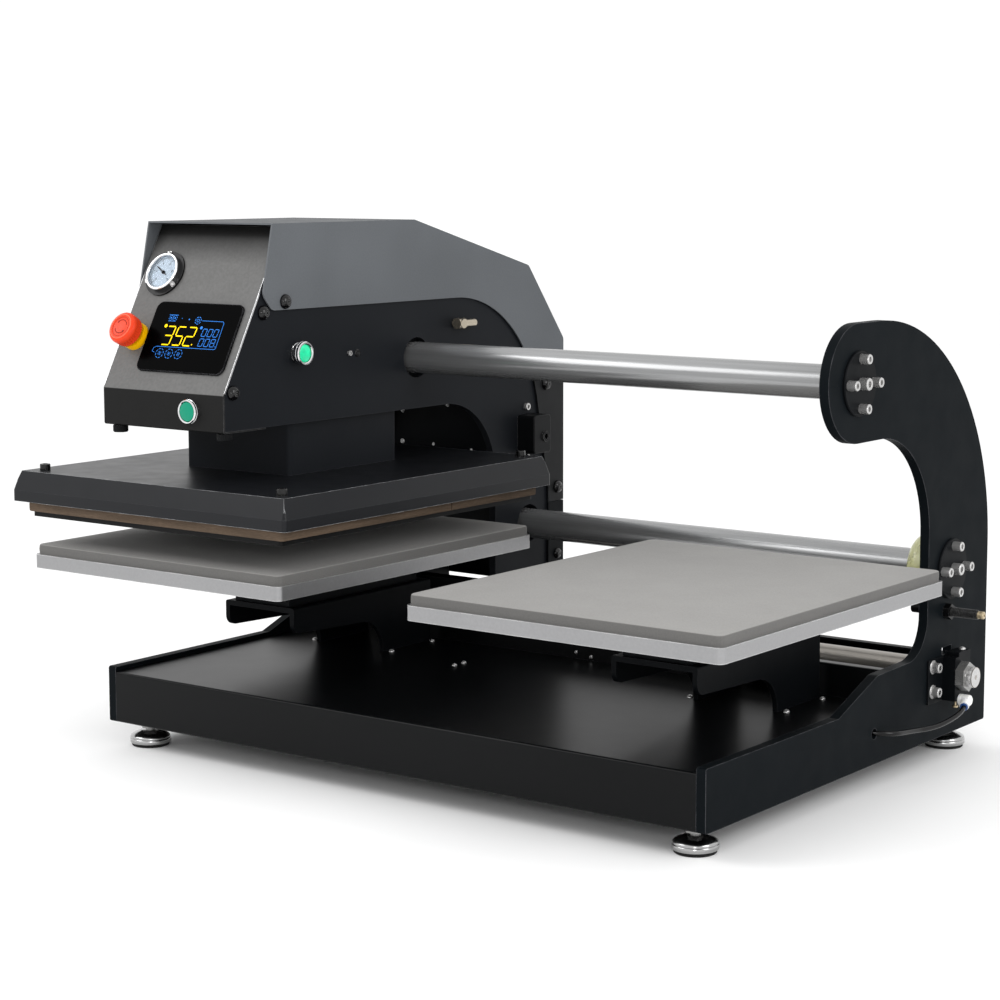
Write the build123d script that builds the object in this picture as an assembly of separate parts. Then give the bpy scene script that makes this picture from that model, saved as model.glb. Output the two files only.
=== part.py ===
from build123d import *
import os
from math import atan2, cos, degrees, hypot, pi, radians, sin, tan

# A heat press with two stations side by side. A pressing head rides on two round rails between two
# side plates and shuttles from the left station to the right one. The heat platen hangs under the head
# and is driven down on to the padded lower platen of the station that the head stands over.
#
# X runs from the left station to the right one, Y from the operator to the back, Z up from the floor.
# Sizes are millimetres. The model is built about the middle between the stations, with Y from the lower
# platens' centre line, and moved at the end so that the origin is the middle of the footprint.

os.makedirs("parts", exist_ok=True)

# Stations
station_pitch = 591.0
head_x = -station_pitch / 2          # the head is stored over the left station
press_gap = 35.0                     # open height between heating plate and pad

# Base
base_front_y = -178.0
base_back_y = 480.0
base_bottom_z = 32.0
deck_z = 96.0
base_edge_z = 102.0                  # side plates stand a little above the deck
sheet_t = 2.0
flange_w = 62.0                      # bottom flanges that the feet screw into
step_y = 228.0                       # front wall of the rear trough
step_z = 135.0
step_flange_w = 14.0
trough_floor_z = 60.0
rear_wall_z = 113.0
rear_wall_inset = 3.0
bend_r = 3.0

# Side plates
plate_t = 12.0
plate_corner_r = 3.0
rise_start_y = 104.0
rise_end_y = 195.0
rise_end_z = 136.0
rise_r = 17.0
heel_z = 139.0
heel_r = 48.0
column_front_y = 319.5
throat_r = 125.0
lobe_r = 68.0
shoulder_r = 290.0

# Rails
rail_r = 20.0
upper_rail_y = 137.0
upper_rail_z = 480.0
mid_rail_y = 379.0
mid_rail_z = 237.0
rail_spigot_r = 7.0
disc_r = 37.0
disc_t = 3.5
disc_chamfer = 1.0
disc_bolt_circle_r = 28.0
disc_bolt_count = 4
cap_screw_r = 5.8
cap_screw_h = 10.0
centre_screw_r = 7.1
centre_screw_h = 11.5
socket_depth = 4.0
socket_share = 0.55                  # socket's corner radius against the head's

# Stops at the ends of the travel
stop_clearance = 0.6
bumper_len = 33.2
bumper_r = 41.0
bumper_round = 16.0
bumper_bore_clearance = 0.2
shock_y = 368.0
shock_z = 186.0
shock_r = 6.0
shock_out = 51.0
shock_in = 13.0
shock_nut_af = 17.0
shock_nut_h = 8.0
shock_cap_h = 12.0
shock_rod_r = 2.5
shock_stroke = 7.0
shock_end_gap = 1.0
shock_cap_edge = 1.5
shock_bore_clearance = 0.1
shock_tail_r = 4.5
shock_tail_h = 8.0

# Rodless drive cylinder across the back
drive_y = 372.0
drive_z = 108.0
drive_tube_r = 17.0
drive_nose_r = 12.5
drive_nose_out = 39.5
drive_block_y0 = 320.0
drive_block_y1 = 396.0
drive_block_z0 = 78.0
drive_block_z1 = 132.0
drive_flange_t = 2.5
drive_block_t = 20.0
drive_ear_w = 36.5                   # part of the block that stays thin and takes the screws
drive_nut_af = 32.0
drive_nut_h = 11.0
drive_nut_turn = 30.0                # degrees, a corner up
drive_screw_inset = 11.0
drive_screw_spacing = 30.0
block_window_w = 26.0                # window in the side plate above the block
block_window_h = 9.0
block_window_gap = 1.0
block_cap_t = 5.0                    # cover on the block's top, with a screw
block_cap_y0 = 366.0
fitting_y = 370.0
fitting_z = 79.0
fitting_r = 7.0
fitting_out = 15.0
outlet_r = 6.0
outlet_len = 14.0
outlet_dir = (0.28, -0.90, -0.34)
hose_r = 3.0
hose_lead = 14.0                     # straight length that leaves the elbow
hose_sag = ((30.0, 304.0, 61.5), (24.0, 278.0, 60.5), (18.0, 258.0, 61.5))
hose_entry_out = 15.0                # how far out it turns towards the side plate
hose_entry_y = 187.0
hose_entry_z = 68.6
hose_hole_r = 6.5
hose_hole_y = 189.5
hose_hole_z = 68.1
hose_end_in = 55.0                   # how far inside the base it ends

# Feet
foot_inset_x = 35.0
foot_inset_front = 36.0
foot_inset_back = 39.0
foot_cup_r = 25.5
foot_cup_z0 = 4.0
foot_cup_z1 = 19.0
foot_neck_r = 12.0
foot_pad_r = 23.5
foot_pad_t = 7.0
foot_cup_wall = 2.0
foot_cup_dip = 3.0
foot_pad_edge = 1.0
foot_stud_r = 6.0
foot_stud_above = 14.0
foot_nut_af = 19.0
foot_nut_h = 10.0

# Pedestals under the lower platens
pedestal_half_w = 57.3
pedestal_t = 6.5
pedestal_front_y = -57.0
pedestal_back_y = 214.0
pedestal_top_z = 178.0
pedestal_arm_front_z = 146.0
pedestal_arm_z = 140.0
pedestal_foot_y = 116.0
pedestal_arch_r = 44.0
pedestal_nose_r = 12.0
carrier_half_w = 45.0
carrier_front_y = -52.0
carrier_back_y = 200.0
carrier_web_t = 6.0
carrier_flange_half_w = 95.0
carrier_flange_t = 8.0

# Lower platens
platen_w = 406.0
platen_d = 488.0
platen_t = 17.0
platen_z = 230.0                     # underside
platen_corner_r = 8.0
pad_inset = 2.4
pad_t = 12.0
pad_corner_r = 9.0
pad_edge_r = 1.0

# Heat platen, measured from its centre over the station
hot_t = 6.0
hot_corner_r = 4.0
hot_inset_x = 5.0                    # inside the insulation's edge
hot_inset_y = 3.5
insulation_inset_x = 14.5            # inside the cover's edge
insulation_inset_y = 11.75
insulation_t = 40.0
insulation_slit_y = 65.0
insulation_slit_w = 2.0
insulation_slit_d = 30.0
insulation_show = 13.0               # between the heating plate and the cover's edge
cover_w = 450.0
cover_d = 512.5
cover_lip_h = 13.5
cover_slope_h = 23.7
cover_slope_in = 8.7
cover_t = 2.0
cover_corner_r = 5.0
cover_bolt_inset_x = 29.0
cover_bolt_inset_y = 28.25
cover_bolt_r = 6.5
cover_bolt_h = 8.0
shroud_clearance = 2.7               # to the head's side plates
shroud_front_y = -93.0
shroud_back_y = 111.0
shroud_t = 2.0
shroud_corner_r = 6.0
shroud_gap = 4.0                     # to the bearing housing above, platen up

# Press cylinder and its guides
cylinder_r = 60.0
cylinder_roof_gap = 59.5             # air valves and wiring lie above it
cylinder_cap_h = 14.0
cylinder_waist = 5.0
ram_r = 12.5
ram_share = 0.54                     # of the cylinder's height, with the platen up
ram_clearance = 0.05
guide_inset = 18.7                   # from the head's side plates
guide_r = 8.0
guide_above_deck = 48.0
ram_foot_r = 30.0
ram_foot_h = 10.0

# Head
head_half_w = 98.7                   # to the side plates' outer faces
head_plate_t = 10.0
head_corner_r = 3.0
arm_z = 415.0                        # underside of the arm over the platen
arm_front_y = -217.5
head_throat_r = 104.0
head_column_y0 = 303.0
head_column_y1 = 440.0
head_bottom_z = 130.0
head_top_gap = 55.5                  # below the hood's roof
head_top_back_y = 300.0
head_back_gap = 17.0                 # below the hood's rear edge
rail_window_r = 26.0
bearing_half = 35.0
bearing_edge_r = 8.0
bearing_clearance = 0.05
bearing_seal_r = 24.0
bearing_seal_depth = 2.0
head_deck_z = 452.0
head_deck_t = 12.0
head_deck_front_y = -205.0
head_deck_gap = 3.0
rear_panel_t = 3.0
rear_panel_z0 = 325.0
rear_panel_gap = 45.0                # below the hood's knee
slider_half_w = 36.0
slider_half = 24.0
crossbar_half_y = 12.0
crossbar_z1 = 150.0

# Hood over the head: a folded roof with two deep cheeks
hood_side_gap = 1.7                  # outside the head's side plates
hood_t = 2.0
hood_top_z = 655.5
hood_front_y = -135.5
hood_crown_y = 130.0
hood_knee_y = 374.0
hood_knee_drop = 65.5                # heights of the hood, down from its top
hood_back_y = 455.0
hood_back_drop = 168.5
hood_fold_r = 10.0
cheek_drop = 102.5
cheek_low_y = -138.5
cheek_front_y = -153.5
cheek_front_drop = 83.5
cheek_corner_r = 12.0
cheek_arc_y = 364.0
cheek_arc_r = 181.0
cheek_strip_y = 420.0
cheek_strip_z = 281.0
cheek_strip_r = 20.0
hood_bottom_z = 262.0
rear_cover_gap = 1.0
rear_cover_bottom_z = 140.0

# Control box at the front of the head
front_cover_t = 2.0
front_cover_depth = 70.0
panel_z = 457.5                      # fold between the upright front and the sloping panel
panel_tilt = 61.7
panel_roof_gap = 2.2
display_x0 = -55.0
display_x1 = 87.0
display_low_share = 0.111            # heights on the panel are shares of its length
display_high_share = 0.525
display_t = 3.0
display_corner_r = 10.0
gauge_x = -62.5
gauge_share = 0.695
gauge_flange_share = 0.134
gauge_flange_t = 2.5
gauge_rim_w = 5.0
gauge_bezel_h = 6.0
gauge_bezel_wall = 3.0
gauge_clearance = 0.2
gauge_dial_h = 0.5
gauge_dial_t = 1.0
gauge_glass_t = 1.0
needle_tip_gap = 6.5
needle_tail = 6.0
needle_w = 1.4
needle_t = 0.5
needle_hub_r = 2.2
needle_hub_h = 1.5
needle_rest = 150.0                  # direction of the needle at rest, from the panel's +X
estop_x = -73.0
estop_share = 0.309
estop_collar_r = 17.5
estop_collar_h = 9.0
estop_head_r = 20.0
estop_head_h = 18.0
estop_stem_r = 8.0
estop_stem_back = 24.0
estop_travel = 4.0
start_x = 44.5
start_z = 436.5
side_button_y = -90.0
side_button_drop = 53.3              # below the hood's lower edge
button_bezel_r = 14.5
button_bezel_h = 6.0
button_barrel_r = 12.5
side_barrel_h = 8.0
button_cap_r = 10.6
start_cap_r = 11.6
button_clearance = 0.3
button_depth = 9.0
button_edge_r = 1.0
thumb_inset = 12.7
thumb_y = -205.0
thumb_r = 9.0
thumb_h = 10.0
valve_y = 216.0
valve_drop = 33.5                    # below the hood's lower edge
valve_hex_r = 7.0
valve_neck_r = 6.0
valve_out = 16.0
valve_len = 30.0
valve_knob_r = 5.0
cable_box_y0 = 353.0
cable_box_y1 = 392.0
cable_box_z0 = 336.0
cable_box_z1 = 388.0
cable_box_out = 28.0
cable_box_corner_r = 5.0
cable_box_edge_r = 2.0
grommet_r = 7.0
grommet_bore_r = 4.0
grommet_proud = 2.5

# Places worked out from the sizes above
stop_x = station_pitch / 2 + head_half_w + stop_clearance
base_half_w = stop_x + bumper_len + plate_t
plate_in_x = base_half_w - plate_t
disc_out_x = base_half_w + disc_t
pad_w = platen_w - 2 * pad_inset
pad_d = platen_d - 2 * pad_inset
pad_z = platen_z + platen_t
hot_z = pad_z + pad_t + press_gap
cover_z = hot_z + hot_t + insulation_show
cover_fold_z = cover_z + cover_lip_h
cover_top_z = cover_fold_z + cover_slope_h
insulation_w = cover_w - 2 * insulation_inset_x
insulation_d = cover_d - 2 * insulation_inset_y
hot_w = insulation_w - 2 * hot_inset_x
hot_d = insulation_d - 2 * hot_inset_y
head_in_x = head_half_w - head_plate_t
shroud_half_w = head_in_x - shroud_clearance
guide_x = head_in_x - guide_inset
hood_half_w = head_half_w + hood_side_gap + hood_t
hood_knee_z = hood_top_z - hood_knee_drop
hood_back_z = hood_top_z - hood_back_drop
cheek_z = hood_top_z - cheek_drop
cheek_front_z = hood_top_z - cheek_front_drop
head_top_z = hood_top_z - head_top_gap
head_back_z = hood_back_z - head_back_gap
side_button_z = cheek_z - side_button_drop
valve_z = cheek_z - valve_drop
panel_slope = radians(panel_tilt)
panel_len = (hood_top_z - hood_t - panel_roof_gap - panel_z) / sin(panel_slope)
panel_front_y = arm_front_y - front_cover_t
deck_under_z = deck_z - sheet_t

# The heater cover reaches furthest to the left and to the front, the right platen to the right
x_min, x_max, y_min = head_x - cover_w / 2, (station_pitch + platen_w) / 2, -cover_d / 2
origin_x = (x_min + x_max) / 2
origin_y = (y_min + base_back_y) / 2

nodes = {}


def slab(x0, x1, y0, y1, z0, z1):
    return Pos((x0 + x1) / 2, (y0 + y1) / 2, (z0 + z1) / 2) * Box(x1 - x0, y1 - y0, z1 - z0)


def bar_x(x0, x1, y, z, r):
    return Pos((x0 + x1) / 2, y, z) * Rot(0, 90, 0) * Cylinder(r, abs(x1 - x0))


def bar_y(y0, y1, x, z, r):
    return Pos(x, (y0 + y1) / 2, z) * Rot(90, 0, 0) * Cylinder(r, abs(y1 - y0))


def bar_z(z0, z1, x, y, r):
    return Pos(x, y, (z0 + z1) / 2) * Cylinder(r, abs(z1 - z0))


def outline(*corners):
    """Closed face from corners (u, v) or (u, v, radius), each radius a tangent arc."""
    pts = [(c[0], c[1], c[2] if len(c) > 2 else 0.0) for c in corners]
    ends = []
    for i, (u, v, r) in enumerate(pts):
        a, b = pts[i - 1], pts[(i + 1) % len(pts)]
        ta, tb = atan2(a[1] - v, a[0] - u), atan2(b[1] - v, b[0] - u)
        half = abs((tb - ta + radians(540)) % radians(360) - radians(180)) / 2
        if not r:
            ends.append(((u, v), None, (u, v)))
            continue
        run = r / tan(half)
        p = (u + run * cos(ta), v + run * sin(ta))
        q = (u + run * cos(tb), v + run * sin(tb))
        mid = ta + ((tb - ta + radians(540)) % radians(360) - radians(180)) / 2
        reach = r / sin(half) - r
        ends.append((p, (u + reach * cos(mid), v + reach * sin(mid)), q))
    edges = []
    for i, (p, m, q) in enumerate(ends):
        if m:
            edges.append(ThreePointArc(p, m, q))
        nxt = ends[(i + 1) % len(ends)][0]
        if hypot(nxt[0] - q[0], nxt[1] - q[1]) > 1e-6:
            edges.append(Line(q, nxt))
    return make_face(edges)


def along_x(face, x0, x1):
    """A face drawn in (Y, Z), given thickness from x0 to x1."""
    return extrude(Plane.YZ.offset(x0) * face, amount=x1 - x0)


def both_sides(part):
    return part, mirror(part, about=Plane.YZ)


def group(*parts):
    return Compound(children=list(parts))


def at_head(part):
    return Pos(head_x, 0, 0) * part


def hexagon_x(x0, x1, y, z, across_flats, turn=0):
    """Hexagonal nut along X."""
    hexagon = RegularPolygon(across_flats / 2, 6, major_radius=False, rotation=turn)
    face = Plane.YZ.offset(x0) * Pos(y, z) * hexagon
    return extrude(face, amount=x1 - x0)


def cap_screw_x(x0, y, z, r, h):
    """Socket cap screw's head on a face that looks along +X."""
    head = chamfer(bar_x(x0, x0 + h, y, z, r).edges().sort_by(Axis.X)[-1], r / 8)
    socket = Plane.YZ.offset(x0 + h - socket_depth) * Pos(y, z) * RegularPolygon(r * socket_share, 6)
    return head - extrude(socket, amount=socket_depth)


# Side plates: upright front, rise to the heel, open throat, lobe round the upper rail, wide shoulder
plate_face = outline(
    (base_front_y, base_bottom_z, plate_corner_r), (base_front_y, base_edge_z, plate_corner_r),
    (rise_start_y, base_edge_z, bend_r), (rise_end_y, rise_end_z, rise_r),
    (column_front_y, heel_z, heel_r), (column_front_y, upper_rail_z - lobe_r, throat_r),
    (upper_rail_y - lobe_r, upper_rail_z - lobe_r, lobe_r),
    (upper_rail_y - lobe_r, upper_rail_z + lobe_r, lobe_r),
    (base_back_y, upper_rail_z + lobe_r, shoulder_r), (base_back_y, base_bottom_z, plate_corner_r))
side_plate = along_x(plate_face, plate_in_x, base_half_w)
side_plate -= bar_x(plate_in_x, base_half_w, drive_y, drive_z, drive_nose_r + shock_bore_clearance)
side_plate -= bar_x(plate_in_x, base_half_w, shock_y, shock_z, shock_r + shock_bore_clearance)
for y, z in ((upper_rail_y, upper_rail_z), (mid_rail_y, mid_rail_z)):
    side_plate -= bar_x(plate_in_x, base_half_w, y, z, rail_spigot_r)
window_z0 = drive_block_z1 + block_window_gap
side_plate -= slab(plate_in_x, base_half_w, drive_y - block_window_w / 2, drive_y + block_window_w / 2,
                   window_z0, window_z0 + block_window_h)
right_plate = side_plate - bar_x(plate_in_x, base_half_w, hose_hole_y, hose_hole_z, hose_hole_r)
nodes["side_plate_right"] = right_plate
nodes["side_plate_left"] = mirror(side_plate, about=Plane.YZ)

# Base: one folded sheet makes the bottom flange, the front, the deck and the wall of the rear trough
pan_front = base_front_y + sheet_t
pan_face = outline(
    (base_front_y, base_bottom_z, bend_r), (base_front_y, deck_z, bend_r), (step_y, deck_z),
    (step_y, step_z, bend_r), (step_y + step_flange_w, step_z), (step_y + step_flange_w, step_z - sheet_t),
    (step_y + sheet_t, step_z - sheet_t), (step_y + sheet_t, deck_under_z), (pan_front, deck_under_z),
    (pan_front, base_bottom_z + sheet_t), (base_front_y + flange_w, base_bottom_z + sheet_t),
    (base_front_y + flange_w, base_bottom_z))
nodes["base_pan"] = along_x(pan_face, -plate_in_x, plate_in_x)

back_y = base_back_y - rear_wall_inset
channel_face = outline(
    (back_y, base_bottom_z, bend_r), (back_y, rear_wall_z, bend_r), (back_y - step_flange_w, rear_wall_z),
    (back_y - step_flange_w, rear_wall_z - sheet_t), (back_y - sheet_t, rear_wall_z - sheet_t),
    (back_y - sheet_t, trough_floor_z), (step_y + sheet_t, trough_floor_z), (step_y + sheet_t, deck_under_z),
    (step_y, deck_under_z), (step_y, trough_floor_z - sheet_t), (back_y - sheet_t, trough_floor_z - sheet_t),
    (back_y - sheet_t, base_bottom_z + sheet_t), (back_y - flange_w, base_bottom_z + sheet_t),
    (back_y - flange_w, base_bottom_z))
nodes["rear_channel"] = along_x(channel_face, -plate_in_x, plate_in_x)

# Levelling feet: rubber pad in a dished cup, hexagon under the flange, stud through the flange
foot_spots = [(sx * (base_half_w - foot_inset_x), y) for sx in (-1, 1)
              for y in (base_front_y + foot_inset_front, base_back_y - foot_inset_back)]
cup_edge_z = foot_pad_t + foot_cup_wall
cup_dip = ((foot_cup_r + foot_neck_r) / 2 + foot_cup_wall, foot_cup_z1 - foot_cup_dip)
cup_face = make_face([
    Line((0, foot_cup_z0), (foot_cup_r, foot_cup_z0)),
    Line((foot_cup_r, foot_cup_z0), (foot_cup_r, cup_edge_z)),
    ThreePointArc((foot_cup_r, cup_edge_z), cup_dip, (foot_neck_r, foot_cup_z1)),
    Line((foot_neck_r, foot_cup_z1), (0, foot_cup_z1)), Line((0, foot_cup_z1), (0, foot_cup_z0))])
foot_cup = revolve(Plane.XZ * cup_face, Axis.Z) - bar_z(0, foot_pad_t, 0, 0, foot_pad_r)
foot_pad = chamfer(bar_z(0, foot_pad_t, 0, 0, foot_pad_r).edges().sort_by(Axis.Z)[0], foot_pad_edge)
foot_hexagon = RegularPolygon(foot_nut_af / 2, 6, major_radius=False)
foot_nut = extrude(Pos(0, 0, base_bottom_z - foot_nut_h) * foot_hexagon, amount=foot_nut_h)
foot_stud = foot_nut + bar_z(foot_cup_z1, base_bottom_z + sheet_t + foot_stud_above, 0, 0, foot_stud_r)
nodes["foot_cups"] = group(*[Pos(x, y, 0) * foot_cup for x, y in foot_spots])
nodes["foot_pads"] = group(*[Pos(x, y, 0) * foot_pad for x, y in foot_spots])
nodes["foot_studs"] = group(*[Pos(x, y, 0) * foot_stud for x, y in foot_spots])
for x, y in foot_spots:
    hole = bar_z(base_bottom_z, base_bottom_z + sheet_t, x, y, foot_stud_r)
    owner = "base_pan" if y < step_y else "rear_channel"
    nodes[owner] -= hole

# Rails, drawn between the plates by spigots and held from outside by bolted discs
rail_axes = {"upper_rail": (upper_rail_y, upper_rail_z), "mid_rail": (mid_rail_y, mid_rail_z)}
discs, screws = [], []
for name, (y, z) in rail_axes.items():
    rail = bar_x(-plate_in_x, plate_in_x, y, z, rail_r)
    nodes[name] = rail + bar_x(-base_half_w, base_half_w, y, z, rail_spigot_r)
    disc = chamfer(bar_x(base_half_w, disc_out_x, y, z, disc_r).edges().sort_by(Axis.X)[-1], disc_chamfer)
    discs += both_sides(disc)
    screws += both_sides(cap_screw_x(disc_out_x, y, z, centre_screw_r, centre_screw_h))
    for k in range(disc_bolt_count):
        turn = radians(360 / disc_bolt_count * k)
        screws += both_sides(cap_screw_x(disc_out_x, y + disc_bolt_circle_r * cos(turn),
                                         z + disc_bolt_circle_r * sin(turn), cap_screw_r, cap_screw_h))
nodes["rail_discs"] = group(*discs)
nodes["rail_screws"] = group(*screws)

# Soft bumpers on the mid rail and shock absorbers through the side plates stop the head
bumper = bar_x(stop_x, plate_in_x, mid_rail_y, mid_rail_z, bumper_r)
bumper = fillet(bumper.edges().sort_by(Axis.X)[0], bumper_round)
bumper -= bar_x(stop_x, plate_in_x, mid_rail_y, mid_rail_z, rail_r + bumper_bore_clearance)
nodes["bumpers"] = group(*both_sides(bumper))

shock_in_x = plate_in_x - shock_in
shock_out_x = base_half_w + shock_out
shock = bar_x(shock_in_x, shock_out_x - shock_tail_h, shock_y, shock_z, shock_r)
shock += bar_x(shock_out_x - shock_tail_h, shock_out_x, shock_y, shock_z, shock_tail_r)
for x0 in (plate_in_x - shock_nut_h, base_half_w):
    shock += hexagon_x(x0, x0 + shock_nut_h, shock_y, shock_z, shock_nut_af)
shock_bore_end = plate_in_x + plate_t / 2
shock -= bar_x(shock_in_x, shock_bore_end, shock_y, shock_z, shock_rod_r + shock_bore_clearance)
plunger = bar_x(stop_x, stop_x + shock_cap_h, shock_y, shock_z, shock_r)
plunger = fillet(plunger.edges().sort_by(Axis.X)[0], shock_cap_edge)
plunger += bar_x(stop_x + shock_cap_h, shock_bore_end - shock_stroke - shock_end_gap,
                 shock_y, shock_z, shock_rod_r)
nodes["shock_bodies"] = group(*both_sides(shock))
nodes["shock_plunger_right"] = plunger
nodes["shock_plunger_left"] = mirror(plunger, about=Plane.YZ)

# Rodless cylinder: steel tube between the plates, threaded nose through each, clamp block and hexagon nut
nose_out_x = base_half_w + drive_nose_out
block_out_x = base_half_w + drive_block_t
nodes["drive_tube"] = (bar_x(-plate_in_x, plate_in_x, drive_y, drive_z, drive_tube_r)
                       + bar_x(-nose_out_x, nose_out_x, drive_y, drive_z, drive_nose_r))
flange_out_x = base_half_w + drive_flange_t
block = slab(base_half_w, flange_out_x, drive_block_y0, drive_block_y1, drive_block_z0, drive_block_z1)
block += slab(base_half_w, block_out_x, drive_block_y0 + drive_ear_w, drive_block_y1,
              drive_block_z0, drive_block_z1)
block = fillet(block.edges().filter_by(Axis.X), plate_corner_r / 2)
block -= bar_x(base_half_w, block_out_x, drive_y, drive_z, drive_nose_r)
block += slab(flange_out_x, block_out_x, block_cap_y0, drive_block_y1,
              drive_block_z1, drive_block_z1 + block_cap_t)
for side in (-1, 1):
    block += cap_screw_x(flange_out_x, drive_block_y0 + drive_screw_inset,
                         drive_z + side * drive_screw_spacing / 2, cap_screw_r, cap_screw_h)
nodes["drive_blocks"] = group(*both_sides(block))
nut = hexagon_x(block_out_x, block_out_x + drive_nut_h, drive_y, drive_z, drive_nut_af, drive_nut_turn)
nut -= bar_x(block_out_x, block_out_x + drive_nut_h, drive_y, drive_z, drive_nose_r)
nodes["drive_nuts"] = group(*both_sides(nut))

# Push-in elbow on the right block, and the short air hose from it into the side plate
elbow = Vector(block_out_x + fitting_out - fitting_r, fitting_y, fitting_z)
outlet_way = Vector(*outlet_dir).normalized()
outlet_end = elbow + outlet_way * outlet_len
fitting = bar_x(block_out_x, block_out_x + fitting_out, fitting_y, fitting_z, fitting_r)
fitting += extrude(Plane(origin=elbow, z_dir=outlet_way) * Circle(outlet_r), amount=outlet_len)
nodes["push_fitting"] = fitting


def hose(points, r):
    """Round hose: straight runs joined by tangent arcs as wide as the runs allow."""
    edges, radii, start = [], [], Vector(*points[0])
    for i in range(1, len(points) - 1):
        p, a, b = Vector(*points[i]), Vector(*points[i - 1]), Vector(*points[i + 1])
        da, db = (a - p).normalized(), (b - p).normalized()
        half = radians(da.get_angle(db)) / 2
        cut = 0.45 * min((a - p).length, (b - p).length)
        bow = cut * tan(half)
        q0, q1 = p + da * cut, p + db * cut
        middle = p + (da + db).normalized() * (bow / sin(half) - bow)
        edges += [Line(start, q0), ThreePointArc(q0, middle, q1)]
        radii.append(round(bow))
        start = q1
    edges.append(Line(start, Vector(*points[-1])))
    path = Wire(edges)
    section = Plane(origin=path.position_at(0), z_dir=path.tangent_at(0)) * Circle(r)
    body = sweep(section, path=path)
    print("hose: length", round(path.length), "bend radii", radii,
          "volume against section times length", round(body.volume / (pi * r * r * path.length), 3))
    return body


hose_route = [tuple(outlet_end), tuple(outlet_end + outlet_way * hose_lead),
              *[(base_half_w + out, y, z) for out, y, z in hose_sag],
              (base_half_w + hose_entry_out, hose_entry_y, hose_entry_z),
              (base_half_w - hose_end_in, hose_entry_y, hose_entry_z)]
nodes["air_hose"] = hose(hose_route, hose_r)

# Pedestals: a bent channel whose cheeks reach forward over an arch and stand on a rear foot
cheek_face = outline(
    (pedestal_front_y, pedestal_top_z), (pedestal_front_y, pedestal_arm_front_z, pedestal_nose_r),
    (pedestal_foot_y, pedestal_arm_z, pedestal_arch_r), (pedestal_foot_y, deck_z),
    (pedestal_back_y, deck_z), (pedestal_back_y, pedestal_top_z))
pedestal_parts = both_sides(along_x(cheek_face, pedestal_half_w - pedestal_t, pedestal_half_w))
pedestal = pedestal_parts[0] + pedestal_parts[1]
pedestal += slab(-pedestal_half_w, pedestal_half_w, pedestal_front_y, pedestal_back_y,
                 pedestal_top_z - pedestal_t, pedestal_top_z)
pedestal = fillet(pedestal.edges().filter_by(Axis.Y).sort_by(Axis.Z)[-2:], bend_r)

# Carriers: a channel on the pedestal with a flange under the platen
carrier_flange_z = platen_z - carrier_flange_t
carrier_in_x = carrier_half_w - carrier_web_t
carrier = slab(-carrier_half_w, carrier_half_w, carrier_front_y, carrier_back_y,
               pedestal_top_z, carrier_flange_z)
carrier -= slab(-carrier_in_x, carrier_in_x, carrier_front_y, carrier_back_y,
                pedestal_top_z + carrier_web_t, carrier_flange_z)
carrier += slab(-carrier_flange_half_w, carrier_flange_half_w, carrier_front_y, carrier_back_y,
                carrier_flange_z, platen_z)

# Lower platens and their pads
platen = extrude(Pos(0, 0, platen_z) * RectangleRounded(platen_w, platen_d, platen_corner_r), amount=platen_t)
pad = extrude(Pos(0, 0, pad_z) * RectangleRounded(pad_w, pad_d, pad_corner_r), amount=pad_t)
pad = fillet(pad.edges().group_by(Axis.Z)[-1], pad_edge_r)
stations = {"left": -station_pitch / 2, "right": station_pitch / 2}
for side, x in stations.items():
    nodes["pedestal_" + side] = Pos(x, 0, 0) * pedestal
    nodes["platen_" + side] = Pos(x, 0, 0) * platen
    nodes["pad_" + side] = Pos(x, 0, 0) * pad
nodes["platen_carriers"] = group(*[Pos(x, 0, 0) * carrier for x in stations.values()])

# Head side plates: sloping front, arm over the platen, wide throat, column down to the drive
slope_back = front_cover_t / sin(panel_slope)


def slope_at(z):
    """Y of the head plates' sloping edge, flush with the back of the control panel."""
    return panel_front_y + slope_back + (z - panel_z) / tan(panel_slope)


slope_start_z = panel_z + (arm_front_y - slope_at(panel_z)) * tan(panel_slope)
head_face = outline(
    (arm_front_y, arm_z, head_corner_r), (arm_front_y, slope_start_z, head_corner_r),
    (slope_at(head_top_z), head_top_z),
    (head_top_back_y, head_top_z), (head_column_y1, head_back_z, bearing_half),
    (head_column_y1, head_bottom_z, head_corner_r), (head_column_y0, head_bottom_z, head_corner_r),
    (head_column_y0, arm_z, head_throat_r))
head_side = along_x(head_face, head_in_x, head_half_w)
for y, z in rail_axes.values():
    head_side -= bar_x(head_in_x, head_half_w, y, z, rail_window_r)
button_pocket = bar_x(head_in_x, head_half_w, side_button_y, side_button_z, button_cap_r + button_clearance)
nodes["head_side_right"] = at_head(head_side - button_pocket)
nodes["head_side_left"] = at_head(mirror(head_side, about=Plane.YZ))

# Linear bearings: one square housing on each rail, across the head
for name, (y, z) in rail_axes.items():
    housing = slab(-head_in_x, head_in_x, y - bearing_half, y + bearing_half,
                   z - bearing_half, z + bearing_half)
    housing = fillet(housing.edges().filter_by(Axis.X), bearing_edge_r)
    housing -= bar_x(-head_in_x, head_in_x, y, z, rail_r + bearing_clearance)
    for x in (-head_in_x, head_in_x - bearing_seal_depth):
        housing -= bar_x(x, x + bearing_seal_depth, y, z, bearing_seal_r)
    nodes["bearing_" + name.split("_")[0]] = at_head(housing)

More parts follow.
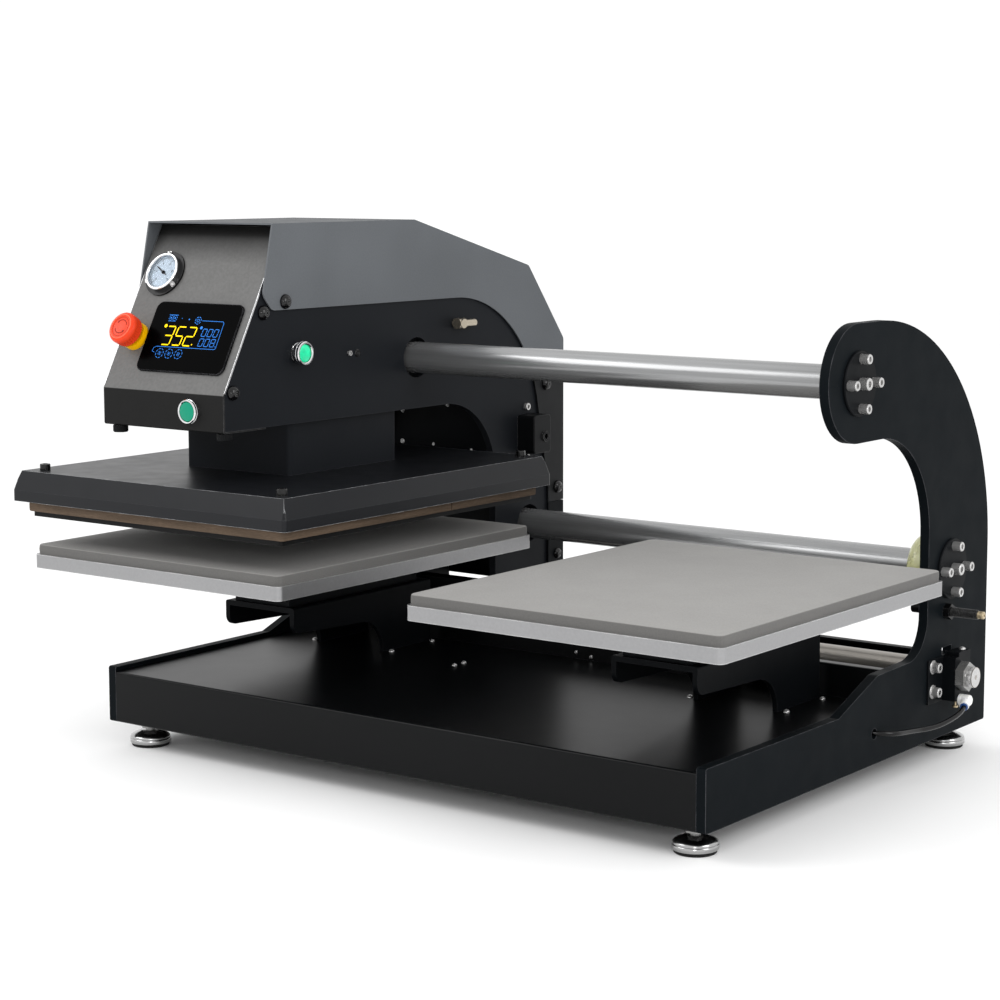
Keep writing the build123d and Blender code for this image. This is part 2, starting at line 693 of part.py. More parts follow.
# Deck that carries the press cylinder, and the panel behind the platen
deck_back_y = upper_rail_y - bearing_half - head_deck_gap
deck = slab(-head_in_x, head_in_x, head_deck_front_y, deck_back_y, head_deck_z, head_deck_z + head_deck_t)
deck -= bar_z(head_deck_z, head_deck_z + head_deck_t, 0, 0, ram_r + ram_clearance)
for x in (-guide_x, guide_x):
    deck -= bar_z(head_deck_z, head_deck_z + head_deck_t, x, 0, guide_r + ram_clearance)
nodes["head_deck"] = at_head(deck)
nodes["rear_panel"] = at_head(slab(-head_in_x, head_in_x, head_column_y0, head_column_y0 + rear_panel_t,
                                   rear_panel_z0, hood_knee_z - rear_panel_gap))

# Slider on the drive tube, with a crossbar between the head's columns
slider = slab(-slider_half_w, slider_half_w, drive_y - slider_half, drive_y + slider_half,
              drive_z - slider_half, drive_z + slider_half)
slider = fillet(slider.edges().filter_by(Axis.X), bearing_edge_r)
slider += slab(-head_in_x, head_in_x, drive_y - crossbar_half_y, drive_y + crossbar_half_y,
               drive_z + slider_half, crossbar_z1)
slider -= bar_x(-slider_half_w, slider_half_w, drive_y, drive_z, drive_tube_r + bearing_clearance)
nodes["drive_slider"] = at_head(slider)

# Press cylinder on the deck
top_of_deck = head_deck_z + head_deck_t
cylinder_h = hood_top_z - hood_t - cylinder_roof_gap - top_of_deck
ram_above_deck = cylinder_h * ram_share
cylinder = bar_z(top_of_deck, top_of_deck + cylinder_h, 0, 0, cylinder_r)
cylinder -= (bar_z(top_of_deck + cylinder_cap_h, top_of_deck + cylinder_h - cylinder_cap_h, 0, 0, cylinder_r)
             - bar_z(top_of_deck, top_of_deck + cylinder_h, 0, 0, cylinder_r - cylinder_waist))
cylinder -= bar_z(top_of_deck, top_of_deck + ram_above_deck + cylinder_cap_h, 0, 0, ram_r + ram_clearance)
nodes["press_cylinder"] = at_head(cylinder)

# Hood: folded roof and two cheeks with a wide arc cut out of them
cheek = outline(
    (cheek_low_y, cheek_z, cheek_corner_r), (cheek_front_y, cheek_front_z, cheek_corner_r),
    (hood_front_y, hood_top_z), (hood_crown_y, hood_top_z, hood_fold_r),
    (hood_knee_y, hood_knee_z, hood_fold_r),
    (hood_back_y, hood_back_z, hood_fold_r), (hood_back_y, hood_bottom_z), (cheek_strip_y, hood_bottom_z),
    (cheek_strip_y, cheek_strip_z, cheek_strip_r), (cheek_arc_y, cheek_z, cheek_arc_r))
roof_line = [(hood_front_y, hood_top_z), (hood_crown_y, hood_top_z), (hood_knee_y, hood_knee_z),
             (hood_back_y, hood_back_z), (hood_back_y, hood_bottom_z)]


def sheet_along(points, t, r):
    """Closed strip of thickness t to the right of an open line of points, its inner bends r - t."""
    normals = []
    for (u0, v0), (u1, v1) in zip(points, points[1:]):
        n = hypot(u1 - u0, v1 - v0)
        normals.append(((v1 - v0) / n, -(u1 - u0) / n))
    inner = []
    for i, (u, v) in enumerate(points):
        a, b = normals[max(i - 1, 0)], normals[min(i, len(normals) - 1)]
        k = t / (1 + a[0] * b[0] + a[1] * b[1])
        inner.append((u + (a[0] + b[0]) * k, v + (a[1] + b[1]) * k))
    ends = {0, len(points) - 1}
    outer_c = [(u, v, 0 if i in ends else r) for i, (u, v) in enumerate(points)]
    inner_c = [(u, v, 0 if i in ends else r - t) for i, (u, v) in enumerate(inner)]
    return outline(*outer_c, *reversed(inner_c))


hood = along_x(sheet_along(roof_line, hood_t, hood_fold_r), -hood_half_w, hood_half_w)
for part in both_sides(along_x(cheek, hood_half_w - hood_t, hood_half_w)):
    hood += part
nodes["hood"] = at_head(hood)

# Lower rear cover in the hood's own outline
rear_top_z = hood_bottom_z - rear_cover_gap
rear_cover = slab(-hood_half_w, hood_half_w, cheek_strip_y, hood_back_y, rear_cover_bottom_z, rear_top_z)
rear_cover -= slab(-hood_half_w + hood_t, hood_half_w - hood_t, cheek_strip_y, hood_back_y - hood_t,
                   rear_cover_bottom_z, rear_top_z)
nodes["rear_cover"] = at_head(rear_cover)

# Control panel: one sheet folded from under the arm up the front and along the slope to the roof.
# The slope's own frame has X across, Y up the slope and Z out towards the operator.
panel_top = (panel_front_y + panel_len * cos(panel_slope), panel_z + panel_len * sin(panel_slope))
cover_under_z = arm_z - front_cover_t
panel_line = [(arm_front_y + front_cover_depth, cover_under_z), (panel_front_y, cover_under_z),
              (panel_front_y, panel_z), panel_top]
panel = along_x(sheet_along(panel_line, front_cover_t, bend_r), -head_half_w, head_half_w)
panel -= bar_y(panel_front_y, arm_front_y, start_x, start_z, start_cap_r + button_clearance)
panel_frame = Plane(origin=(head_x, panel_front_y, panel_z), x_dir=(1, 0, 0),
                    z_dir=(0, -sin(panel_slope), cos(panel_slope)))


def on_panel(x, s, h, part):
    return panel_frame * Pos(x, s, h) * part


def disc_up(r, h0, h1):
    return Pos(0, 0, (h0 + h1) / 2) * Cylinder(r, h1 - h0)


estop_up, gauge_up = estop_share * panel_len, gauge_share * panel_len
stem_hole_r = estop_stem_r + button_clearance
stem_hole = on_panel(estop_x, estop_up, 0, disc_up(stem_hole_r, -front_cover_t, 0))
nodes["control_panel"] = at_head(panel) - stem_hole
display_w, display_h = display_x1 - display_x0, (display_high_share - display_low_share) * panel_len
display = extrude(RectangleRounded(display_w, display_h, display_corner_r), amount=display_t)
display = chamfer(display.edges().group_by(Axis.Z)[-1], display_t / 4)
display_up = (display_low_share + display_high_share) / 2 * panel_len
nodes["display"] = on_panel((display_x0 + display_x1) / 2, display_up, 0, display)

# Pressure gauge: flange, bezel, dial, needle and glass
gauge_flange_r = gauge_flange_share * panel_len
gauge_bezel_r = gauge_flange_r - gauge_rim_w
dial_r = gauge_bezel_r - gauge_bezel_wall
needle_len = dial_r - needle_tip_gap
needle_mid = (needle_len - needle_tail) / 2
bezel_top = gauge_flange_t + gauge_bezel_h
dial_top = gauge_flange_t + gauge_dial_h + gauge_dial_t
bezel = disc_up(gauge_bezel_r, gauge_flange_t, bezel_top) - disc_up(dial_r, gauge_flange_t, bezel_top)
bezel = chamfer(bezel.edges().filter_by(GeomType.CIRCLE).sort_by(Axis.Z)[-2:], gauge_bezel_wall / 3)
glass = disc_up(dial_r, bezel_top - gauge_bezel_wall / 2 - gauge_glass_t, bezel_top - gauge_bezel_wall / 2)
needle_z0 = dial_top + gauge_clearance
needle = disc_up(needle_hub_r, needle_z0, needle_z0 + needle_hub_h)
needle += Pos(needle_mid, 0, needle_z0 + needle_hub_h / 2) * Box(needle_len + needle_tail, needle_w, needle_t)
nodes["gauge_flange"] = on_panel(gauge_x, gauge_up, 0, disc_up(gauge_flange_r, 0, gauge_flange_t))
nodes["gauge_bezel"] = on_panel(gauge_x, gauge_up, 0, bezel)
nodes["gauge_dial"] = on_panel(gauge_x, gauge_up, 0, disc_up(dial_r, gauge_flange_t, dial_top))
nodes["gauge_glass"] = on_panel(gauge_x, gauge_up, 0, glass)
nodes["gauge_needle"] = on_panel(gauge_x, gauge_up, 0, Rot(0, 0, needle_rest) * needle)

# Emergency stop: fixed collar, sliding stem, mushroom head that also turns on the stem
collar = disc_up(estop_collar_r, 0, estop_collar_h) - disc_up(stem_hole_r, 0, estop_collar_h)
collar = fillet(collar.edges().filter_by(GeomType.CIRCLE).sort_by(Axis.Z)[-1], button_edge_r)
head_h0 = estop_collar_h + estop_travel
head_h1 = head_h0 + estop_head_h
mushroom = disc_up(estop_head_r, head_h0, head_h1)
mushroom = fillet(mushroom.edges().filter_by(GeomType.CIRCLE).sort_by(Axis.Z)[-1], estop_head_r / 4)
stem_bore_h = head_h0 + estop_head_h / 2
mushroom -= disc_up(estop_stem_r / 2 + bearing_clearance, head_h0, stem_bore_h)
stem = disc_up(estop_stem_r, -estop_stem_back, head_h0) + disc_up(estop_stem_r / 2, head_h0, stem_bore_h)
nodes["stop_collar"] = on_panel(estop_x, estop_up, 0, collar)
nodes["stop_stem"] = on_panel(estop_x, estop_up, 0, stem)
nodes["stop_head"] = on_panel(estop_x, estop_up, 0, mushroom)

# Start button on the front, lit button on a barrel on the right side
ring_front_y = panel_front_y - button_bezel_h
start_ring = (bar_y(ring_front_y, panel_front_y, start_x, start_z, button_bezel_r)
              - bar_y(ring_front_y, panel_front_y, start_x, start_z, start_cap_r + button_clearance))
start_ring = chamfer(start_ring.edges().filter_by(GeomType.CIRCLE).sort_by(Axis.Y)[:2], button_bezel_h / 6)
barrel_x = head_half_w + side_barrel_h
ring_x = barrel_x + button_bezel_h
side_ring = (bar_x(head_half_w, barrel_x, side_button_y, side_button_z, button_barrel_r)
             + bar_x(barrel_x, ring_x, side_button_y, side_button_z, button_bezel_r)
             - bar_x(head_half_w, ring_x, side_button_y, side_button_z, button_cap_r + button_clearance))
side_ring = chamfer(side_ring.edges().filter_by(GeomType.CIRCLE).sort_by(Axis.X)[-2:], button_bezel_h / 6)
nodes["button_bezels"] = group(at_head(start_ring), at_head(side_ring))
start_cap_y = ring_front_y + button_clearance
start_cap = bar_y(start_cap_y, start_cap_y + button_depth, start_x, start_z, start_cap_r)
side_cap = bar_x(ring_x - button_bezel_h / 3 - button_depth, ring_x - button_bezel_h / 3,
                 side_button_y, side_button_z, button_cap_r)
nodes["start_cap"] = at_head(fillet(start_cap.edges().sort_by(Axis.Y)[0], button_edge_r))
nodes["side_cap"] = at_head(fillet(side_cap.edges().sort_by(Axis.X)[-1], button_edge_r))

# Thumb screws under the control box
thumb_x, thumb_z = head_half_w - thumb_inset, cover_under_z
nodes["thumb_screws"] = group(*[at_head(bar_z(thumb_z - thumb_h, thumb_z, x, thumb_y, thumb_r))
                                for x in (-thumb_x, thumb_x)])

# Flow control valve on the right side, its knob towards the back
valve_x = head_half_w + valve_out - valve_hex_r
valve = bar_x(head_half_w, head_half_w + valve_out, valve_y, valve_z, valve_neck_r)
valve += bar_y(valve_y - valve_hex_r, valve_y + valve_hex_r, valve_x, valve_z, valve_hex_r)
valve += bar_y(valve_y, valve_y + valve_len, valve_x, valve_z, valve_knob_r)
nodes["flow_valve"] = at_head(valve)

# Cable box on the right column, with a grommet
box = slab(head_half_w, head_half_w + cable_box_out, cable_box_y0, cable_box_y1, cable_box_z0, cable_box_z1)
box = fillet(box.edges().filter_by(Axis.X), cable_box_corner_r)
box = fillet(box.edges().group_by(Axis.X)[-1], cable_box_edge_r)
grommet_y, grommet_z = cable_box_y1 - 2 * grommet_r, (cable_box_z0 + cable_box_z1) / 2 - grommet_r / 2
box_out_x = head_half_w + cable_box_out
box += bar_x(box_out_x, box_out_x + grommet_proud, grommet_y, grommet_z, grommet_r)
box -= bar_x(box_out_x - grommet_r, box_out_x + grommet_proud, grommet_y, grommet_z, grommet_bore_r)
nodes["cable_box"] = at_head(box)

# Heat platen: heating plate, insulation, folded cover, bolts, shroud, ram and guides
hot = extrude(Pos(0, 0, hot_z) * RectangleRounded(hot_w, hot_d, hot_corner_r), amount=hot_t)
insulation = extrude(Pos(0, 0, hot_z + hot_t) * RectangleRounded(insulation_w, insulation_d, hot_corner_r),
                     amount=min(insulation_t, cover_top_z - cover_t - hot_z - hot_t))
insulation -= slab(insulation_w / 2 - insulation_slit_d, insulation_w / 2, insulation_slit_y,
                   insulation_slit_y + insulation_slit_w, hot_z, cover_top_z)
slope_angle = degrees(atan2(cover_slope_in, cover_slope_h))


def cover_body(inset, top_z):
    base = RectangleRounded(cover_w - 2 * inset, cover_d - 2 * inset, cover_corner_r - inset / 2)
    lip = extrude(Pos(0, 0, cover_z) * base, amount=cover_lip_h)
    return lip + extrude(Pos(0, 0, cover_fold_z) * base, amount=top_z - cover_fold_z, taper=slope_angle)


heater_cover = cover_body(0, cover_top_z) - cover_body(cover_t, cover_top_z - cover_t)
bolt = cap_screw_x(0, 0, 0, cover_bolt_r, cover_bolt_h)
bolts = [Pos(sx * (cover_w / 2 - cover_bolt_inset_x), sy * (cover_d / 2 - cover_bolt_inset_y), cover_top_z)
         * Rot(0, -90, 0) * bolt for sx in (-1, 1) for sy in (-1, 1)]
shroud_mid_y = (shroud_front_y + shroud_back_y) / 2
shroud_d = shroud_back_y - shroud_front_y
shroud_h = upper_rail_z - bearing_half - shroud_gap - cover_top_z
shroud_base = Pos(0, shroud_mid_y, cover_top_z)
shroud_outer = RectangleRounded(2 * shroud_half_w, shroud_d, shroud_corner_r)
shroud_inner = RectangleRounded(2 * (shroud_half_w - shroud_t), shroud_d - 2 * shroud_t,
                                shroud_corner_r - shroud_t)
shroud = extrude(shroud_base * (shroud_outer - shroud_inner), amount=shroud_h)
ram = bar_z(cover_top_z, top_of_deck + ram_above_deck, 0, 0, ram_r)
ram += bar_z(cover_top_z, cover_top_z + ram_foot_h, 0, 0, ram_foot_r)
guides = [bar_z(cover_top_z, top_of_deck + guide_above_deck, x, 0, guide_r) for x in (-guide_x, guide_x)]
nodes["heating_plate"] = at_head(hot)
nodes["insulation"] = at_head(insulation)
nodes["heater_cover"] = at_head(heater_cover)
nodes["cover_bolts"] = group(*[at_head(b) for b in bolts])
nodes["shroud"] = at_head(shroud)
nodes["press_rods"] = group(at_head(ram), *[at_head(g) for g in guides])

for name, part in nodes.items():
    export_step(Pos(-origin_x, -origin_y, 0) * part, os.path.join("parts", name + ".step"))
print(len(nodes), "nodes; origin moved by", -origin_x, -origin_y)
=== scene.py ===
"""Looks of a heat press with two stations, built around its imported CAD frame."""
import math

import bmesh
import bpy
from mathutils import Matrix, Vector, noise


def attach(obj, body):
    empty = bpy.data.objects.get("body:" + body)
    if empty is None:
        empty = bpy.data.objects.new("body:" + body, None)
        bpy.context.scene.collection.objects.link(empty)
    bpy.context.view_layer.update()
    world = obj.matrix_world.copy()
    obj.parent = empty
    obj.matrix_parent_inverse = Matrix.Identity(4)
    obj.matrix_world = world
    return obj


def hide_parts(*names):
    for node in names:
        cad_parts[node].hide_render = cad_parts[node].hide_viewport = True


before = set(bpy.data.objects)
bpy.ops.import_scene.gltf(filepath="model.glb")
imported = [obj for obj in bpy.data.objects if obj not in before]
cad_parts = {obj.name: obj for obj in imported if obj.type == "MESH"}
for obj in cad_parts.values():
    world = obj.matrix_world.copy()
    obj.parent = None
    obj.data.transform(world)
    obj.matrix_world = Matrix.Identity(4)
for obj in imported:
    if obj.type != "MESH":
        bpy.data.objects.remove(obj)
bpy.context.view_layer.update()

MM = 0.001
ROW = Vector((11.0, -111.875, 0.0))      # from the machine's middle to the row frame, mm
STATIONS = {"left": -295.5, "right": 295.5}
HEAD_X = STATIONS["left"]                # the head's middle at rest
HEAD_HALF = 98.7                         # half its width, over the side plates
HOOD_HALF = 102.4                        # and over the hood's cheeks
REAR_PANEL_Y = 303.0                     # front of the head's rear panel
DECK_Z = 96.0                            # top of the base pan
RAIL_AXES = ((137.0, 480.0), (379.0, 237.0))    # y and z of the upper and the mid rail
RAIL_END = 443.5                         # where the rails' bolts sit on the discs


# Places: pieces are drawn in millimetres about the machine's middle, with the floor at z = 0. The camera, the
# lights and the materials are in metres, in the row frame.

def point(x, y, z):
    return (Vector((x, y, z)) + ROW) * MM


def place(x, y, z, facing=(0, 0, 1), up=(0, 1, 0)):
    """Matrix from mm to the row frame, whose local Z looks along facing and local Y along up."""
    w = Vector(facing).normalized()
    v = Vector(up) if abs(w.dot(Vector(up))) < 0.99 else Vector((0, 0, 1))
    v = (v - w * v.dot(w)).normalized()
    u = v.cross(w)
    m = Matrix((u, v, w)).transposed().to_4x4()
    return Matrix.Translation(point(x, y, z)) @ m @ Matrix.Scale(MM, 4)


# Camera, at the photograph's place and angle

def make_camera():
    yaw, pitch = math.radians(36.11), math.radians(7.04)
    ahead = Vector((-math.sin(yaw) * math.cos(pitch), math.cos(yaw) * math.cos(pitch), -math.sin(pitch)))
    right = Vector((math.cos(yaw), math.sin(yaw), 0))
    data = bpy.data.cameras.new("camera")
    data.sensor_width, data.lens = 36.0, 85.97
    data.shift_x, data.shift_y = -0.0370, -0.0377
    camera = bpy.data.objects.new("camera", data)
    camera.matrix_world = Matrix((right, right.cross(ahead), -ahead)).transposed().to_4x4()
    camera.location = (1.7333, -2.3447, 0.7209)
    bpy.context.scene.collection.objects.link(camera)
    bpy.context.scene.camera = camera


make_camera()


# Materials

def shader(name, colour, rough, metal=0.0, spec=0.5, ior=1.5, mottle=0.08, mottle_scale=9.0, grain=0.05,
           grain_scale=500.0, bump=0.1, bump_scale=650.0, depth=0.0001, stretch=(1, 1, 1), vary=0.05,
           edge=0.0, edge_colour=(0.3, 0.3, 0.31), edge_width=0.0012, coat=0.0, glow=0.0, clear=0.0,
           subsurface=0.0, sheen=0.0, painted_side_light=1.0, painted_side_light_at=(0.2, 0.9), fade=None):
    """Colour with soft patches and fine grain, uneven roughness and small bumps, in metres.

    edge paints the edges bright: partly wear, partly painted highlights where the edges catch the light.
    painted_side_light is painted light and shade on upright faces, a share of the colour where level ones have 1,
    and painted_side_light_at the normal's Z from where to where it changes. fade is (from height, to height, shade
    beyond it): the colour darkened above or below a height, which on the panel is a painted shadow.
    """
    mat = bpy.data.materials.new(name)
    mat.use_nodes = True
    tree = mat.node_tree
    tree.nodes.clear()

    def add(kind, **settings):
        node = tree.nodes.new(kind)
        for key, value in settings.items():
            setattr(node, key, value)
        return node

    def wire(a, b):
        tree.links.new(a, b)

    out = add("ShaderNodeOutputMaterial")
    body = add("ShaderNodeBsdfPrincipled")
    wire(body.outputs["BSDF"], out.inputs["Surface"])
    coords = add("ShaderNodeTexCoord")
    mapping = add("ShaderNodeMapping")
    mapping.inputs["Scale"].default_value = stretch
    wire(coords.outputs["Object"], mapping.inputs["Vector"])

    def noise_of(scale, detail=3.0):
        node = add("ShaderNodeTexNoise")
        node.inputs["Scale"].default_value = scale
        node.inputs["Detail"].default_value = detail
        wire(mapping.outputs["Vector"], node.inputs["Vector"])
        return node.outputs["Fac"]

    def between(source, low, high, a, b):
        node = add("ShaderNodeMapRange")
        for key, value in (("From Min", low), ("From Max", high), ("To Min", a), ("To Max", b)):
            node.inputs[key].default_value = value
        wire(source, node.inputs["Value"])
        return node.outputs["Result"]

    def times(a, b):
        node = add("ShaderNodeMath", operation="MULTIPLY")
        wire(a, node.inputs[0])
        wire(b, node.inputs[1])
        return node.outputs[0]

    shade = times(between(noise_of(mottle_scale), 0.3, 0.7, 1 - mottle, 1 + mottle),
                  between(noise_of(grain_scale, 2.0), 0.3, 0.7, 1 - grain, 1 + grain))
    # Painted light and shade: upright faces get a lighter or darker copy of the colour than level ones.
    if painted_side_light != 1.0:
        facing = add("ShaderNodeSeparateXYZ")
        wire(add("ShaderNodeNewGeometry").outputs["Normal"], facing.inputs[0])
        shade = times(shade, between(facing.outputs["Z"], *painted_side_light_at, painted_side_light, 1.0))
    # Colour darkened by height: on the panel a painted shadow under the visor, on the hood near black below the
    # rail's height.
    if fade:
        height = add("ShaderNodeSeparateXYZ")
        wire(coords.outputs["Object"], height.inputs[0])
        shade = times(shade, between(height.outputs["Z"], fade[0], fade[1], 1.0, fade[2]))
    tint = add("ShaderNodeVectorMath", operation="SCALE")
    tint.inputs[0].default_value = colour
    wire(shade, tint.inputs["Scale"])
    base = tint.outputs["Vector"]
    # Bright edges, partly wear and partly painted highlights where edges catch the light.
    if edge:
        bevel = add("ShaderNodeBevel", samples=4)
        bevel.inputs["Radius"].default_value = edge_width
        dot = add("ShaderNodeVectorMath", operation="DOT_PRODUCT")
        wire(bevel.outputs["Normal"], dot.inputs[0])
        wire(add("ShaderNodeNewGeometry").outputs["Normal"], dot.inputs[1])
        edge_wear_and_highlight = times(between(dot.outputs["Value"], 0.97, 0.80, 0.0, edge),
                     between(noise_of(60.0, 4.0), 0.35, 0.6, 0.35, 1.0))
        mix = add("ShaderNodeMix", data_type="RGBA")
        wire(edge_wear_and_highlight, mix.inputs["Factor"])
        wire(base, mix.inputs["A"])
        mix.inputs["B"].default_value = (*edge_colour, 1)
        base = mix.outputs["Result"]
    wire(base, body.inputs["Base Color"])
    wire(between(noise_of(mottle_scale * 4), 0.3, 0.7, max(rough - vary, 0.02), rough + vary),
         body.inputs["Roughness"])
    if bump:
        bumps = add("ShaderNodeBump")
        bumps.inputs["Strength"].default_value = bump
        bumps.inputs["Distance"].default_value = depth
        wire(noise_of(bump_scale, 2.0), bumps.inputs["Height"])
        wire(bumps.outputs["Normal"], body.inputs["Normal"])
    body.inputs["Metallic"].default_value = metal
    body.inputs["Specular IOR Level"].default_value = spec
    body.inputs["IOR"].default_value = ior
    body.inputs["Coat Weight"].default_value = coat
    body.inputs["Coat Roughness"].default_value = 0.08
    body.inputs["Sheen Weight"].default_value = sheen
    body.inputs["Transmission Weight"].default_value = clear
    if subsurface:
        body.inputs["Subsurface Weight"].default_value = subsurface
        body.inputs["Subsurface Radius"].default_value = (0.02, 0.02, 0.012)
    if glow:
        wire(base, body.inputs["Emission Color"])
        body.inputs["Emission Strength"].default_value = glow
    return mat
